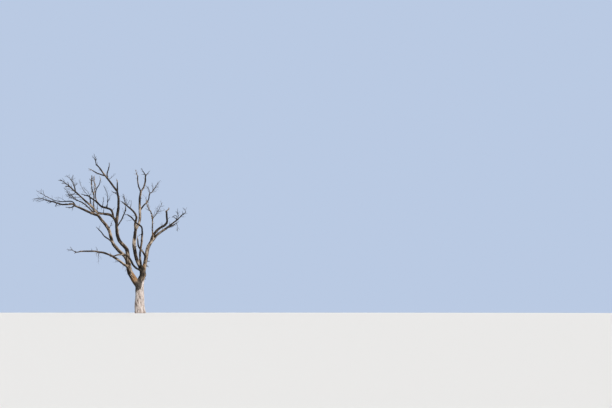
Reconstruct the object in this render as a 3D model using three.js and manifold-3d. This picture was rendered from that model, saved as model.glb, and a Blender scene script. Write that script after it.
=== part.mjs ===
// A dead, leafless tree that stands on open ground: trunk, boughs and bare twigs.
// Millimetres. The tree is seen along +Y from its front, with +X to the right and +Z up.
// The origin is the middle of the flat cut under the trunk.

import * as THREE from 'three';
import { mergeVertices } from 'three/addons/utils/BufferGeometryUtils.js';
import Module from 'manifold-3d';

const wasm = await Module();
wasm.setup();

// Shared sizes
const GAP = 0.3;
const MERGE_WITHIN = 1e-3;
const PARALLEL = 1e-6;

// Trunk: a flared foot, a long even stem and a narrower neck that leans right and carries the fork
const TRUNK = {
  height: 3650,
  footRadius: 458,
  stemRadius: 345,
  neckRadius: 238,
  neckDeepening: 0.12,
  flareHeight: 900,
  shoulderFrom: 2150,
  shoulderTo: 3150,
  neckLean: 230,
  leanFrom: 2300,
  leanTo: 3200,
  buttresses: 5,
  buttressDepth: 0.09,
  buttressHeight: 420,
  sides: 20,
  rings: 20,
};

// Every limb springs from the axis of the limb it is `from`, at that share of its length.
// `radius` is at its start and tip, `back` is how far behind the trunk its tip lies, and
// `course` holds the [right, up] places it passes on the way to its tip.
const LIMBS = [
  { name: 'left_bough', from: 'trunk', at: 0.575, radius: [260, 200], back: -550,
    course: [[-270, 2500], [-590, 2940], [-840, 3390], [-890, 4080]] },
  { name: 'left_tall_limb', from: 'left_bough', at: 0.96, radius: [168, 84], back: -2500,
    course: [[-960, 4620], [-1040, 5090], [-1640, 5840], [-1845, 6740], [-1780, 7940], [-1670, 8900],
      [-1800, 9780]] },
  { name: 'far_left_limb', from: 'left_bough', at: 0.9, radius: [152, 108], back: 1100,
    course: [[-1160, 4515], [-1715, 5050], [-2135, 5565], [-2300, 6100], [-2500, 6740], [-2980, 7380],
      [-3400, 7890]] },
  { name: 'far_left_reach', from: 'far_left_limb', at: 0.985, radius: [104, 54], back: 2000,
    course: [[-4060, 8100], [-4780, 8420], [-5160, 8600], [-5390, 8760], [-5620, 8720], [-6220, 8710],
      [-6580, 8820]] },
  { name: 'far_left_upper', from: 'far_left_reach', at: 0.57, radius: [52, 34], back: 3000,
    course: [[-5390, 8930], [-5820, 8960], [-6340, 8950], [-6860, 9060], [-7300, 9260]] },
  { name: 'low_left_limb', from: 'left_bough', at: 0.83, radius: [106, 56], back: -2900,
    course: [[-1220, 3900], [-1780, 4310], [-2300, 4620], [-3020, 4860], [-3900, 4955], [-4740, 4940]] },
  { name: 'short_left_limb', from: 'far_left_limb', at: 0.46, radius: [60, 42], back: -700,
    course: [[-2510, 5940], [-2860, 6200], [-3070, 6470], [-3300, 6720]] },
  { name: 'diagonal_limb', from: 'left_tall_limb', at: 0.58, radius: [112, 62], back: -3800,
    course: [[-2020, 7550], [-2340, 7840], [-2860, 7930], [-3380, 8030], [-3820, 8500], [-4460, 9080],
      [-5100, 9670]] },
  { name: 'arched_limb', from: 'diagonal_limb', at: 0.14, radius: [96, 56], back: -700,
    course: [[-2165, 7970], [-2300, 8280], [-2620, 8420], [-3060, 8550], [-3450, 8900], [-4020, 9310]] },
  { name: 'hooked_upright', from: 'arched_limb', at: 0.74, radius: [50, 36], back: 100,
    course: [[-3550, 9420], [-3460, 9920], [-3220, 10340], [-3150, 10630]] },
  { name: 'back_left_limb', from: 'far_left_reach', at: 0.05, radius: [66, 40], back: 3600,
    course: [[-4020, 8370], [-4420, 8740], [-4980, 9040]] },
  { name: 'tall_upright', from: 'far_left_reach', at: 0.09, radius: [56, 42], back: 2300,
    course: [[-3700, 8740], [-3670, 9380], [-3820, 9960], [-3870, 10460]] },
  { name: 'riser_limb', from: 'left_tall_limb', at: 0.53, radius: [58, 48], back: -600,
    course: [[-1460, 7460], [-1280, 7860], [-1140, 8220]] },
  { name: 'left_crown_limb', from: 'left_tall_limb', at: 0.99, radius: [84, 54], back: -3100,
    course: [[-2040, 10050], [-2380, 10510], [-2780, 11010], [-3230, 11620], [-3420, 11830]] },
  { name: 'crown_stub', from: 'left_tall_limb', at: 0.98, radius: [68, 54], back: -2150,
    course: [[-1780, 10140], [-1780, 10420]] },
  { name: 'crown_spur', from: 'left_crown_limb', at: 0.48, radius: [60, 47], back: -2300,
    course: [[-2600, 11100], [-2460, 11660]] },
  { name: 'crown_side_limb', from: 'left_crown_limb', at: 0.6, radius: [56, 42], back: -3900,
    course: [[-3140, 11080], [-3460, 11190], [-3750, 11380]] },
  { name: 'right_bough', from: 'trunk', at: 0.87, radius: [170, 128], back: 650,
    course: [[395, 3780], [515, 4550], [640, 5180], [930, 5740], [1220, 6100]] },
  { name: 'central_bough', from: 'trunk', at: 0.9, radius: [160, 126], back: 1000,
    course: [[-60, 3870], [-280, 4460], [-420, 5300], [-420, 6020], [-320, 6740]] },
  { name: 'crossing_limb', from: 'trunk', at: 0.93, radius: [96, 56], back: -1900,
    course: [[-180, 3540], [-510, 3840], [-730, 4260], [-980, 4590], [-1500, 4690], [-2100, 4560]] },
  { name: 'front_limb', from: 'trunk', at: 0.95, radius: [92, 78], back: -1100,
    course: [[80, 4100], [20, 4740], [140, 5540], [210, 6540]] },
  { name: 'front_arm', from: 'front_limb', at: 0.98, radius: [74, 50], back: -1900,
    course: [[130, 6900], [-300, 7230], [-660, 7660], [-940, 7840]] },
  { name: 'central_limb', from: 'central_bough', at: 0.98, radius: [114, 86], back: 2300,
    course: [[-20, 7340], [20, 8180], [-10, 8980], [100, 9780]] },
  { name: 'central_left_tip', from: 'central_limb', at: 0.98, radius: [62, 46], back: 1700,
    course: [[-90, 10180], [-170, 10700], [-170, 10950]] },
  { name: 'central_right_tip', from: 'central_limb', at: 0.985, radius: [72, 58], back: 3200,
    course: [[310, 10080], [440, 10580], [460, 11010]] },
  { name: 'inner_left_limb', from: 'central_bough', at: 0.96, radius: [106, 64], back: 0,
    course: [[-350, 7140], [-260, 7780], [-620, 8260], [-1180, 8740]] },
  { name: 'inner_right_limb', from: 'central_limb', at: 0.535, radius: [66, 50], back: 2900,
    course: [[320, 8630], [640, 8960], [780, 9520]] },
  { name: 'inner_spur', from: 'right_bough', at: 0.42, radius: [74, 60], back: -50,
    course: [[290, 4860], [-100, 5380], [-170, 5900]] },
  { name: 'right_lower_limb', from: 'right_bough', at: 0.98, radius: [112, 54], back: -900,
    course: [[1680, 6500], [2130, 6800], [2540, 7120], [3030, 7490]] },
  { name: 'right_upper_limb', from: 'right_bough', at: 0.84, radius: [112, 82], back: 2700,
    course: [[1010, 6130], [1260, 6490], [1640, 6840], [1990, 7040], [2180, 7280], [2170, 7740],
      [2150, 8130]] },
  { name: 'right_upright', from: 'right_bough', at: 0.92, radius: [64, 52], back: -1000,
    course: [[1020, 6660], [1020, 7580]] },
  { name: 'right_low_side', from: 'right_lower_limb', at: 0.57, radius: [52, 34], back: -1900,
    course: [[2580, 6990], [2900, 7180]] },
];

// Each mass grows on from the tip of its limb. `back` is how far behind the trunk its tips lie,
// and each leader is a main twig: the first from the limb's tip, the others from the first,
// at that share of its length.
const MASSES = [
  { name: 'left_crown_twigs', limb: 'left_crown_limb', back: -3300,
    leaders: [{ course: [[-3530, 12250], [-3620, 12700]] }, { at: 0.45, course: [[-3780, 12580]] }] },
  { name: 'crown_spur_twigs', limb: 'crown_spur', back: -2100, leaders: [{ course: [[-2420, 12060]] }] },
  { name: 'crown_side_twigs', limb: 'crown_side_limb', back: -4300, leaders: [{ course: [[-4100, 11510]] }] },
  { name: 'crown_stub_twigs', limb: 'crown_stub', back: -2000, leaders: [{ course: [[-1880, 10750]] }] },
  { name: 'diagonal_twigs', limb: 'diagonal_limb', back: -4300,
    leaders: [{ course: [[-5740, 10240], [-6340, 10660]] },
      { at: 0.05, course: [[-5300, 10400], [-5860, 11020]] }] },
  { name: 'arched_twigs', limb: 'arched_limb', back: -600, leaders: [{ course: [[-4620, 9510]] }] },
  { name: 'hooked_twigs', limb: 'hooked_upright', back: 300, leaders: [{ course: [[-3220, 10980]] }] },
  { name: 'back_left_twigs', limb: 'back_left_limb', back: 4300,
    leaders: [{ course: [[-5500, 9400], [-5860, 9350]] }, { at: 0.3, course: [[-5860, 9870]] }] },
  { name: 'tall_upright_twigs', limb: 'tall_upright', back: 2500,
    leaders: [{ course: [[-3860, 11020]] }, { at: 0.1, course: [[-3680, 10980]] }] },
  { name: 'far_left_twigs', limb: 'far_left_reach', back: 2400,
    leaders: [{ course: [[-7530, 9040], [-7900, 9220], [-8540, 9140]] },
      { at: 0.05, course: [[-6780, 8540]] }] },
  { name: 'far_left_upper_twigs', limb: 'far_left_upper', back: 3500,
    leaders: [{ course: [[-7850, 9580], [-8300, 9830]] }] },
  { name: 'low_left_twigs', limb: 'low_left_limb', back: -3400,
    leaders: [{ course: [[-5080, 4870], [-5350, 5000], [-5790, 5100]] }] },
  { name: 'short_left_twigs', limb: 'short_left_limb', back: -850, leaders: [{ course: [[-3500, 6910]] }] },
  { name: 'crossing_twigs', limb: 'crossing_limb', back: -2050, leaders: [{ course: [[-2400, 4500]] }] },
  { name: 'riser_twigs', limb: 'riser_limb', back: -450, leaders: [{ course: [[-1140, 8580]] }] },
  { name: 'front_arm_twigs', limb: 'front_arm', back: -2050, leaders: [{ course: [[-1220, 7860]] }] },
  { name: 'inner_spur_twigs', limb: 'inner_spur', back: -80, leaders: [{ course: [[-170, 6200]] }] },
  { name: 'central_left_twigs', limb: 'central_left_tip', back: 1500,
    leaders: [{ course: [[-240, 11160], [-340, 11510]] }] },
  { name: 'central_right_twigs', limb: 'central_right_tip', back: 3500,
    leaders: [{ course: [[310, 11320], [130, 11630]] }, { at: 0.05, course: [[790, 11390]] }] },
  { name: 'inner_left_twigs', limb: 'inner_left_limb', back: -150,
    leaders: [{ course: [[-1580, 8990]] }, { at: 0.05, course: [[-1220, 9200], [-1340, 9540]] }] },
  { name: 'inner_right_twigs', limb: 'inner_right_limb', back: 3300,
    leaders: [{ course: [[1050, 9800], [1590, 10620]] }, { at: 0.08, course: [[700, 9950], [480, 10260]] }] },
  { name: 'right_upper_twigs', limb: 'right_upper_limb', back: 2900, leaders: [{ course: [[2420, 8430]] }] },
  { name: 'right_lower_twigs', limb: 'right_lower_limb', back: -1200,
    leaders: [{ course: [[3400, 7850], [3690, 8080], [3500, 8420]] }, { at: 0.03, course: [[2620, 7750]] },
      { at: 0.1, course: [[3010, 8340]] }] },
  { name: 'right_low_side_twigs', limb: 'right_low_side', back: -2100,
    leaders: [{ course: [[3140, 7330]] }, { at: 0.3, course: [[3030, 6900], [3040, 6500]] }] },
  { name: 'right_upright_twigs', limb: 'right_upright', back: -1300,
    leaders: [{ course: [[880, 8100], [530, 8660]] }, { at: 0.05, course: [[1400, 8050], [1820, 8870]] }] },
];

// How a limb's solid is drawn
const LIMB_STEP = 300;
const STOUT_RADIUS = 90;
const STOUT_SIDES = 10;
const SLIM_SIDES = 7;
const TAPER = 1.4;
const BACK_EASE = 0.85;
const BACK_SWAY = 0.05;
const BACK_WAVES = 2.5;

// The rule that twigs branch by
const TWIG = {
  sides: 3,
  step: 320,
  sunk: 60,
  stemShare: 0.94,
  forkShare: 0.8,
  tipRadius: 9,
  shootEvery: 400,
  shootFrom: [0.25, 0.95],
  shootAngle: [0.6, 1.15],
  shootLength: [0.35, 0.6],
  shorterBy: 0.7,
  leastLength: 110,
  mostLength: 650,
  shootShare: 0.62,
  wander: 0.16,
  orders: 2,
  spread: 520,
  clear: 25,
};

const COLOURS = { trunk: 0xcfc0b4, limbs: 0x9a8873, twigs: 0x6e5f50 };

// Curves
function ease(share) {
  const held = Math.min(1, Math.max(0, share));
  return held * held * (3 - 2 * held);
}

function trunkShoulder(height) {
  return ease((height - TRUNK.shoulderFrom) / (TRUNK.shoulderTo - TRUNK.shoulderFrom));
}

function trunkRadius(height) {
  const flare = (TRUNK.footRadius - TRUNK.stemRadius) * Math.exp(-((height / TRUNK.flareHeight) ** 2));
  return TRUNK.stemRadius + flare - trunkShoulder(height) * (TRUNK.stemRadius - TRUNK.neckRadius);
}

function trunkLean(height) {
  return TRUNK.neckLean * ease((height - TRUNK.leanFrom) / (TRUNK.leanTo - TRUNK.leanFrom));
}

function trunkAxis() {
  const places = Array.from({ length: TRUNK.rings + 1 }, (_, ring) => {
    const height = (TRUNK.height * ring) / TRUNK.rings;
    return new THREE.Vector3(trunkLean(height), 0, height);
  });
  return new THREE.CatmullRomCurve3(places, false, 'centripetal');
}

function courseCurve(start, course, back, turn) {
  const places = [[start.x, start.z], ...course].map(([right, up]) => new THREE.Vector3(right, 0, up));
  const travelled = [0];
  for (let i = 1; i < places.length; i += 1) {
    travelled.push(travelled[i - 1] + places[i].distanceTo(places[i - 1]));
  }
  const total = travelled[travelled.length - 1];
  places.forEach((place, i) => {
    const share = travelled[i] / total;
    const sway = Math.sin(Math.PI * share) * Math.sin(BACK_WAVES * Math.PI * share + turn);
    place.y = start.y + (back - start.y) * share ** BACK_EASE + BACK_SWAY * total * sway;
  });
  return new THREE.CatmullRomCurve3(places, false, 'centripetal');
}

// Solids
function bentCylinder(curve, radiusAt, sides, steps, grown = 0) {
  const shape = new THREE.CylinderGeometry(1, 1, 1, sides, steps);
  const frames = curve.computeFrenetFrames(steps, false);
  const places = curve.getSpacedPoints(steps);
  const faceGrowth = grown / Math.cos(Math.PI / sides);
  const spots = shape.attributes.position;
  const spot = new THREE.Vector3();
  const across = new THREE.Vector3();
  for (let i = 0; i < spots.count; i += 1) {
    spot.fromBufferAttribute(spots, i);
    const row = Math.round((spot.y + 0.5) * steps);
    const radius = radiusAt(row / steps) + faceGrowth;
    across.crossVectors(frames.normals[row], frames.tangents[row]);
    const endGrowth = row === 0 ? -grown : row === steps ? grown : 0;
    const moved = places[row].clone()
      .addScaledVector(frames.normals[row], spot.x * radius)
      .addScaledVector(across, spot.z * radius)
      .addScaledVector(frames.tangents[row], endGrowth);
    spots.setXYZ(i, moved.x, moved.y, moved.z);
  }
  return shape;
}

function trunkShape(grown = 0) {
  const shape = new THREE.CylinderGeometry(1, 1, 1, TRUNK.sides, TRUNK.rings);
  const faceGrowth = grown / Math.cos(Math.PI / TRUNK.sides);
  const spots = shape.attributes.position;
  const spot = new THREE.Vector3();
  for (let i = 0; i < spots.count; i += 1) {
    spot.fromBufferAttribute(spots, i);
    const height = (spot.y + 0.5) * TRUNK.height;
    const around = Math.atan2(spot.x, spot.z);
    const buttress = TRUNK.buttressDepth * Math.exp(-height / TRUNK.buttressHeight);
    const radius = trunkRadius(height) * (1 + buttress * Math.cos(TRUNK.buttresses * around)) + faceGrowth;
    const depth = radius * (1 + TRUNK.neckDeepening * trunkShoulder(height));
    const lift = height > TRUNK.height - GAP ? grown : 0;
    spots.setXYZ(i, trunkLean(height) + spot.z * radius, spot.x * depth, height + lift);
  }
  return shape;
}

function toSolid(shape) {
  shape.deleteAttribute('normal');
  shape.deleteAttribute('uv');
  const merged = mergeVertices(shape, MERGE_WITHIN);
  return new wasm.Manifold(new wasm.Mesh({
    numProp: 3,
    vertProperties: Float32Array.from(merged.attributes.position.array),
    triVerts: Uint32Array.from(merged.index.array),
  }));
}

function largestBody(solid) {
  return solid.decompose().sort((a, b) => b.volume() - a.volume())[0];
}

function toMesh(name, solid, colour) {
  const cut = solid.getMesh();
  const shape = new THREE.BufferGeometry();
  shape.setAttribute('position', new THREE.BufferAttribute(Float32Array.from(cut.vertProperties), 3));
  shape.setIndex(new THREE.BufferAttribute(Uint32Array.from(cut.triVerts), 1));
  shape.computeVertexNormals();
  const finish = new THREE.MeshStandardMaterial({ color: colour, roughness: 0.9, metalness: 0 });
  const mesh = new THREE.Mesh(shape, finish);
  mesh.name = name;
  return mesh;
}

// Limbs, each with its curve, its radius along it and its solid
function taperedRadius([start, tip]) {
  return (share) => start + (tip - start) * share ** TAPER;
}

function limbSteps(curve) {
  return Math.max(3, Math.round(curve.getLength() / LIMB_STEP));
}

function boxesMeet(a, b) {
  const one = a.boundingBox();
  const other = b.boundingBox();
  return [0, 1, 2].every((axis) => one.min[axis] < other.max[axis] && other.min[axis] < one.max[axis]);
}

function buildLimbs() {
  const limbs = new Map();
  limbs.set('trunk', {
    curve: trunkAxis(),
    radiusAt: (share) => trunkRadius(share * TRUNK.height),
    solid: toSolid(trunkShape()),
    keepOut: toSolid(trunkShape(GAP)),
  });
  for (const [index, { name, from, at, radius, back, course }] of LIMBS.entries()) {
    const curve = courseCurve(limbs.get(from).curve.getPointAt(at), course, back, index);
    const sides = radius[0] > STOUT_RADIUS ? STOUT_SIDES : SLIM_SIDES;
    const steps = limbSteps(curve);
    const radiusAt = taperedRadius(radius);
    let solid = toSolid(bentCylinder(curve, radiusAt, sides, steps));
    for (const other of limbs.values()) {
      if (boxesMeet(solid, other.keepOut)) solid = solid.subtract(other.keepOut);
    }
    limbs.set(name, {
      curve,
      radiusAt,
      solid: largestBody(solid),
      keepOut: toSolid(bentCylinder(curve, radiusAt, sides, steps, GAP)),
    });
  }
  return limbs;
}

// Clearances, with every limb and twig as a chain of straight rods
function rodsOf(curve, radiusAt, steps) {
  const places = curve.getSpacedPoints(steps);
  return places.slice(1).map((end, i) => ({ start: places[i], end, radius: radiusAt(i / steps) }));
}

function rodDistance(one, other) {
  const a = one.end.clone().sub(one.start);
  const b = other.end.clone().sub(other.start);
  const between = one.start.clone().sub(other.start);
  const aa = a.dot(a);
  const bb = b.dot(b);
  const ab = a.dot(b);
  const aw = a.dot(between);
  const bw = b.dot(between);
  const spread = aa * bb - ab * ab;
  const level = spread > PARALLEL ? THREE.MathUtils.clamp((ab * bw - bb * aw) / spread, 0, 1) : 0;
  const alongOther = THREE.MathUtils.clamp((ab * level + bw) / bb, 0, 1);
  const alongOne = THREE.MathUtils.clamp((ab * alongOther - aw) / aa, 0, 1);
  return between.addScaledVector(a, alongOne).addScaledVector(b, -alongOther).length();
}

function touches(rods, taken) {
  return rods.some((rod) => taken.some(
    (other) => rodDistance(rod, other) < rod.radius + other.radius + TWIG.clear,
  ));
}

function leavesSpace(rods, spine) {
  return rods.some((rod) => spine.every((part) => rodDistance(rod, part) > TWIG.spread));
}

// Twigs
function seededRandom(seed) {
  let state = seed;
  return () => {
    state = (state + 0x6d2b79f5) | 0;
    let mixed = Math.imul(state ^ (state >>> 15), 1 | state);
    mixed = (mixed + Math.imul(mixed ^ (mixed >>> 7), 61 | mixed)) ^ mixed;
    return ((mixed ^ (mixed >>> 14)) >>> 0) / 4294967296;
  };
}

function pick([low, high], random) {
  return low + (high - low) * random();
}

function scatter(random) {
  return new THREE.Vector3(random() - 0.5, random() - 0.5, random() - 0.5);
}

function makeTwig(curve, radius) {
  const steps = Math.max(2, Math.round(curve.getLength() / TWIG.step));
  const radiusAt = (share) => radius + (TWIG.tipRadius - radius) * share;
  return { curve, radiusAt, steps, rods: rodsOf(curve, radiusAt, steps) };
}

function leaderTwigs(mass, limb) {
  const limbEnd = limb.curve.getPointAt(1);
  const heading = limb.curve.getTangentAt(1);
  const stemStart = limbEnd.clone().addScaledVector(heading, -TWIG.sunk);
  const twigs = [];
  for (const { at, course } of mass.leaders) {
    const stem = twigs[0];
    const start = stem ? stem.curve.getPointAt(at) : stemStart;
    const radius = stem ? stem.radiusAt(at) * TWIG.forkShare : limb.radiusAt(1) * TWIG.stemShare;
    const curve = courseCurve(start, course, mass.back, twigs.length);
    if (!stem) curve.points.splice(1, 0, limbEnd.clone().addScaledVector(heading, TWIG.sunk));
    twigs.push(makeTwig(curve, radius));
  }
  return twigs;
}

function shootFrom(parent, at, random) {
  const start = parent.curve.getPointAt(at);
  const along = parent.curve.getTangentAt(at);
  const across = scatter(random).cross(along).normalize();
  const angle = pick(TWIG.shootAngle, random);
  const heading = along.multiplyScalar(Math.cos(angle)).addScaledVector(across, Math.sin(angle));
  const reach = parent.curve.getLength() * (1 - at * TWIG.shorterBy);
  const length = Math.min(TWIG.mostLength, reach * pick(TWIG.shootLength, random));
  const sway = scatter(random).multiplyScalar(length * TWIG.wander);
  if (length < TWIG.leastLength) return null;
  const middle = start.clone().addScaledVector(heading, length / 2).add(sway);
  const tip = start.clone().addScaledVector(heading, length);
  const curve = new THREE.CatmullRomCurve3([start, middle, tip], false, 'centripetal');
  return makeTwig(curve, parent.radiusAt(at) * TWIG.shootShare);
}

function growMass(mass, index, limbs, taken) {
  const random = seededRandom(index + 1);
  const leaders = leaderTwigs(mass, limbs.get(mass.limb));
  const spine = leaders.flatMap((twig) => twig.rods);
  const twigs = [...leaders];
  let parents = leaders;
  for (let order = 1; order <= TWIG.orders; order += 1) {
    const shoots = [];
    for (const parent of parents) {
      const count = Math.max(1, Math.round(parent.curve.getLength() / TWIG.shootEvery));
      for (let i = 0; i < count; i += 1) {
        const share = pick(TWIG.shootFrom, () => (i + random()) / count);
        const shoot = shootFrom(parent, share, random);
        if (shoot && !touches(shoot.rods, taken) && !leavesSpace(shoot.rods, spine)) shoots.push(shoot);
      }
    }
    twigs.push(...shoots);
    parents = shoots;
  }
  return twigs;
}

function massSolid(twigs, limb) {
  const solids = twigs.map(({ curve, radiusAt, steps }) => (
    toSolid(bentCylinder(curve, radiusAt, TWIG.sides, steps))
  ));
  const joined = solids.reduce((whole, solid) => whole.add(solid));
  return largestBody(joined.subtract(limb.keepOut));
}

// The tree
function buildTree() {
  const tree = new THREE.Group();
  const limbs = buildLimbs();
  for (const [name, { solid }] of limbs) {
    tree.add(toMesh(name, solid, name === 'trunk' ? COLOURS.trunk : COLOURS.limbs));
  }
  const taken = [...limbs.values()].flatMap(
    ({ curve, radiusAt }) => rodsOf(curve, radiusAt, limbSteps(curve)),
  );
  MASSES.forEach((mass, index) => {
    const twigs = growMass(mass, index, limbs, taken);
    tree.add(toMesh(mass.name, massSolid(twigs, limbs.get(mass.limb)), COLOURS.twigs));
    taken.push(...twigs.flatMap((twig) => twig.rods));
  });
  return tree;
}

const group = buildTree();

export default group;
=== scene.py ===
"""A dead, leafless tree on a plain pale floor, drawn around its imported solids, in metres."""

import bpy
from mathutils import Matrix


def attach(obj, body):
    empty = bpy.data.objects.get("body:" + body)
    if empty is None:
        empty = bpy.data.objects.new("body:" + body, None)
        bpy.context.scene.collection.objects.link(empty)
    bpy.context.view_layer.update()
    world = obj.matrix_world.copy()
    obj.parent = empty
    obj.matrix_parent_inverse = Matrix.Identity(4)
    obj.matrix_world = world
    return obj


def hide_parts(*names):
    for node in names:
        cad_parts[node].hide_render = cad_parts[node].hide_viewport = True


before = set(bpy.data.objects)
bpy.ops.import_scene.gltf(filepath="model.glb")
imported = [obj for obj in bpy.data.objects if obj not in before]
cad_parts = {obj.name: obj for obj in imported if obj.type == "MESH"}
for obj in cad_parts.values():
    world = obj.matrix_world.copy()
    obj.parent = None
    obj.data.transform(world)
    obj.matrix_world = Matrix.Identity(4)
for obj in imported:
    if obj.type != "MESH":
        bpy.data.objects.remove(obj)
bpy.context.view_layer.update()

import copy
import math

import bmesh
import bpy
import numpy as np
from mathutils import Vector, noise

MM = 0.001

# The photograph's frame and where the middle of the trunk's foot shows in it, in pixels
PHOTO_SIZE = (612, 408)
FOOT_PIXEL = (139.7, 313.2)

# Camera: a long lens far away, at a standing person's eye height
LENS = 900
SENSOR = 36
EYE_DISTANCE = 1224
EYE_HEIGHT = 1.52
SIGHT = 4000

# Trunk, as in the part's source, in millimetres
TRUNK = {
    "height": 3650, "foot": 458, "stem": 345, "neck": 238, "neck_deepening": 0.12,
    "flare_height": 900, "shoulder_from": 2150, "shoulder_to": 3150,
    "neck_lean": 230, "lean_from": 2300, "lean_to": 3200,
    "buttresses": 5, "buttress_depth": 0.09, "buttress_height": 420, "rings": 20,
}

# Every limb springs from the axis of the limb it is from, at that share of its length.
# The radius is at its start and tip, back is how far behind the trunk its tip lies, and the
# course holds the (right, up) places it passes on the way to its tip, all in millimetres.
LIMBS = [
    ("left_bough", "trunk", 0.575, (260, 200), -550,
     [(-270, 2500), (-590, 2940), (-840, 3390), (-890, 4080)]),
    ("left_tall_limb", "left_bough", 0.96, (168, 84), -2500,
     [(-960, 4620), (-1040, 5090), (-1640, 5840), (-1845, 6740), (-1780, 7940), (-1670, 8900),
      (-1800, 9780)]),
    ("far_left_limb", "left_bough", 0.9, (152, 108), 1100,
     [(-1160, 4515), (-1715, 5050), (-2135, 5565), (-2300, 6100), (-2500, 6740), (-2980, 7380),
      (-3400, 7890)]),
    ("far_left_reach", "far_left_limb", 0.985, (104, 54), 2000,
     [(-4060, 8100), (-4780, 8420), (-5160, 8600), (-5390, 8760), (-5620, 8720), (-6220, 8710),
      (-6580, 8820)]),
    ("far_left_upper", "far_left_reach", 0.57, (52, 34), 3000,
     [(-5390, 8930), (-5820, 8960), (-6340, 8950), (-6860, 9060), (-7300, 9260)]),
    ("low_left_limb", "left_bough", 0.83, (106, 56), -2900,
     [(-1220, 3900), (-1780, 4310), (-2300, 4620), (-3020, 4860), (-3900, 4955), (-4740, 4940)]),
    ("short_left_limb", "far_left_limb", 0.46, (60, 42), -700,
     [(-2510, 5940), (-2860, 6200), (-3070, 6470), (-3300, 6720)]),
    ("diagonal_limb", "left_tall_limb", 0.58, (112, 62), -3800,
     [(-2020, 7550), (-2340, 7840), (-2860, 7930), (-3380, 8030), (-3820, 8500), (-4460, 9080),
      (-5100, 9670)]),
    ("arched_limb", "diagonal_limb", 0.14, (96, 56), -700,
     [(-2165, 7970), (-2300, 8280), (-2620, 8420), (-3060, 8550), (-3450, 8900), (-4020, 9310)]),
    ("hooked_upright", "arched_limb", 0.74, (50, 36), 100,
     [(-3550, 9420), (-3460, 9920), (-3220, 10340), (-3150, 10630)]),
    ("back_left_limb", "far_left_reach", 0.05, (66, 40), 3600,
     [(-4020, 8370), (-4420, 8740), (-4980, 9040)]),
    ("tall_upright", "far_left_reach", 0.09, (56, 42), 2300,
     [(-3700, 8740), (-3670, 9380), (-3820, 9960), (-3870, 10460)]),
    ("riser_limb", "left_tall_limb", 0.53, (58, 48), -600,
     [(-1460, 7460), (-1280, 7860), (-1140, 8220)]),
    ("left_crown_limb", "left_tall_limb", 0.99, (84, 54), -3100,
     [(-2040, 10050), (-2380, 10510), (-2780, 11010), (-3230, 11620), (-3420, 11830)]),
    ("crown_stub", "left_tall_limb", 0.98, (68, 54), -2150,
     [(-1780, 10140), (-1780, 10420)]),
    ("crown_spur", "left_crown_limb", 0.48, (60, 47), -2300,
     [(-2600, 11100), (-2460, 11660)]),
    ("crown_side_limb", "left_crown_limb", 0.6, (56, 42), -3900,
     [(-3140, 11080), (-3460, 11190), (-3750, 11380)]),
    ("right_bough", "trunk", 0.87, (170, 128), 650,
     [(395, 3780), (515, 4550), (640, 5180), (930, 5740), (1220, 6100)]),
    ("central_bough", "trunk", 0.9, (160, 126), 1000,
     [(-60, 3870), (-280, 4460), (-420, 5300), (-420, 6020), (-320, 6740)]),
    ("crossing_limb", "trunk", 0.93, (96, 56), -1900,
     [(-180, 3540), (-510, 3840), (-730, 4260), (-980, 4590), (-1500, 4690), (-2100, 4560)]),
    ("front_limb", "trunk", 0.95, (92, 78), -1100,
     [(80, 4100), (20, 4740), (140, 5540), (210, 6540)]),
    ("front_arm", "front_limb", 0.98, (74, 50), -1900,
     [(130, 6900), (-300, 7230), (-660, 7660), (-940, 7840)]),
    ("central_limb", "central_bough", 0.98, (114, 86), 2300,
     [(-20, 7340), (20, 8180), (-10, 8980), (100, 9780)]),
    ("central_left_tip", "central_limb", 0.98, (62, 46), 1700,
     [(-90, 10180), (-170, 10700), (-170, 10950)]),
    ("central_right_tip", "central_limb", 0.985, (72, 58), 3200,
     [(310, 10080), (440, 10580), (460, 11010)]),
    ("inner_left_limb", "central_bough", 0.96, (106, 64), 0,
     [(-350, 7140), (-260, 7780), (-620, 8260), (-1180, 8740)]),
    ("inner_right_limb", "central_limb", 0.535, (66, 50), 2900,
     [(320, 8630), (640, 8960), (780, 9520)]),
    ("inner_spur", "right_bough", 0.42, (74, 60), -50,
     [(290, 4860), (-100, 5380), (-170, 5900)]),
    ("right_lower_limb", "right_bough", 0.98, (112, 54), -900,
     [(1680, 6500), (2130, 6800), (2540, 7120), (3030, 7490)]),
    ("right_upper_limb", "right_bough", 0.84, (112, 82), 2700,
     [(1010, 6130), (1260, 6490), (1640, 6840), (1990, 7040), (2180, 7280), (2170, 7740),
      (2150, 8130)]),
    ("right_upright", "right_bough", 0.92, (64, 52), -1000,
     [(1020, 6660), (1020, 7580)]),
    ("right_low_side", "right_lower_limb", 0.57, (52, 34), -1900,
     [(2580, 6990), (2900, 7180)]),
]

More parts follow.
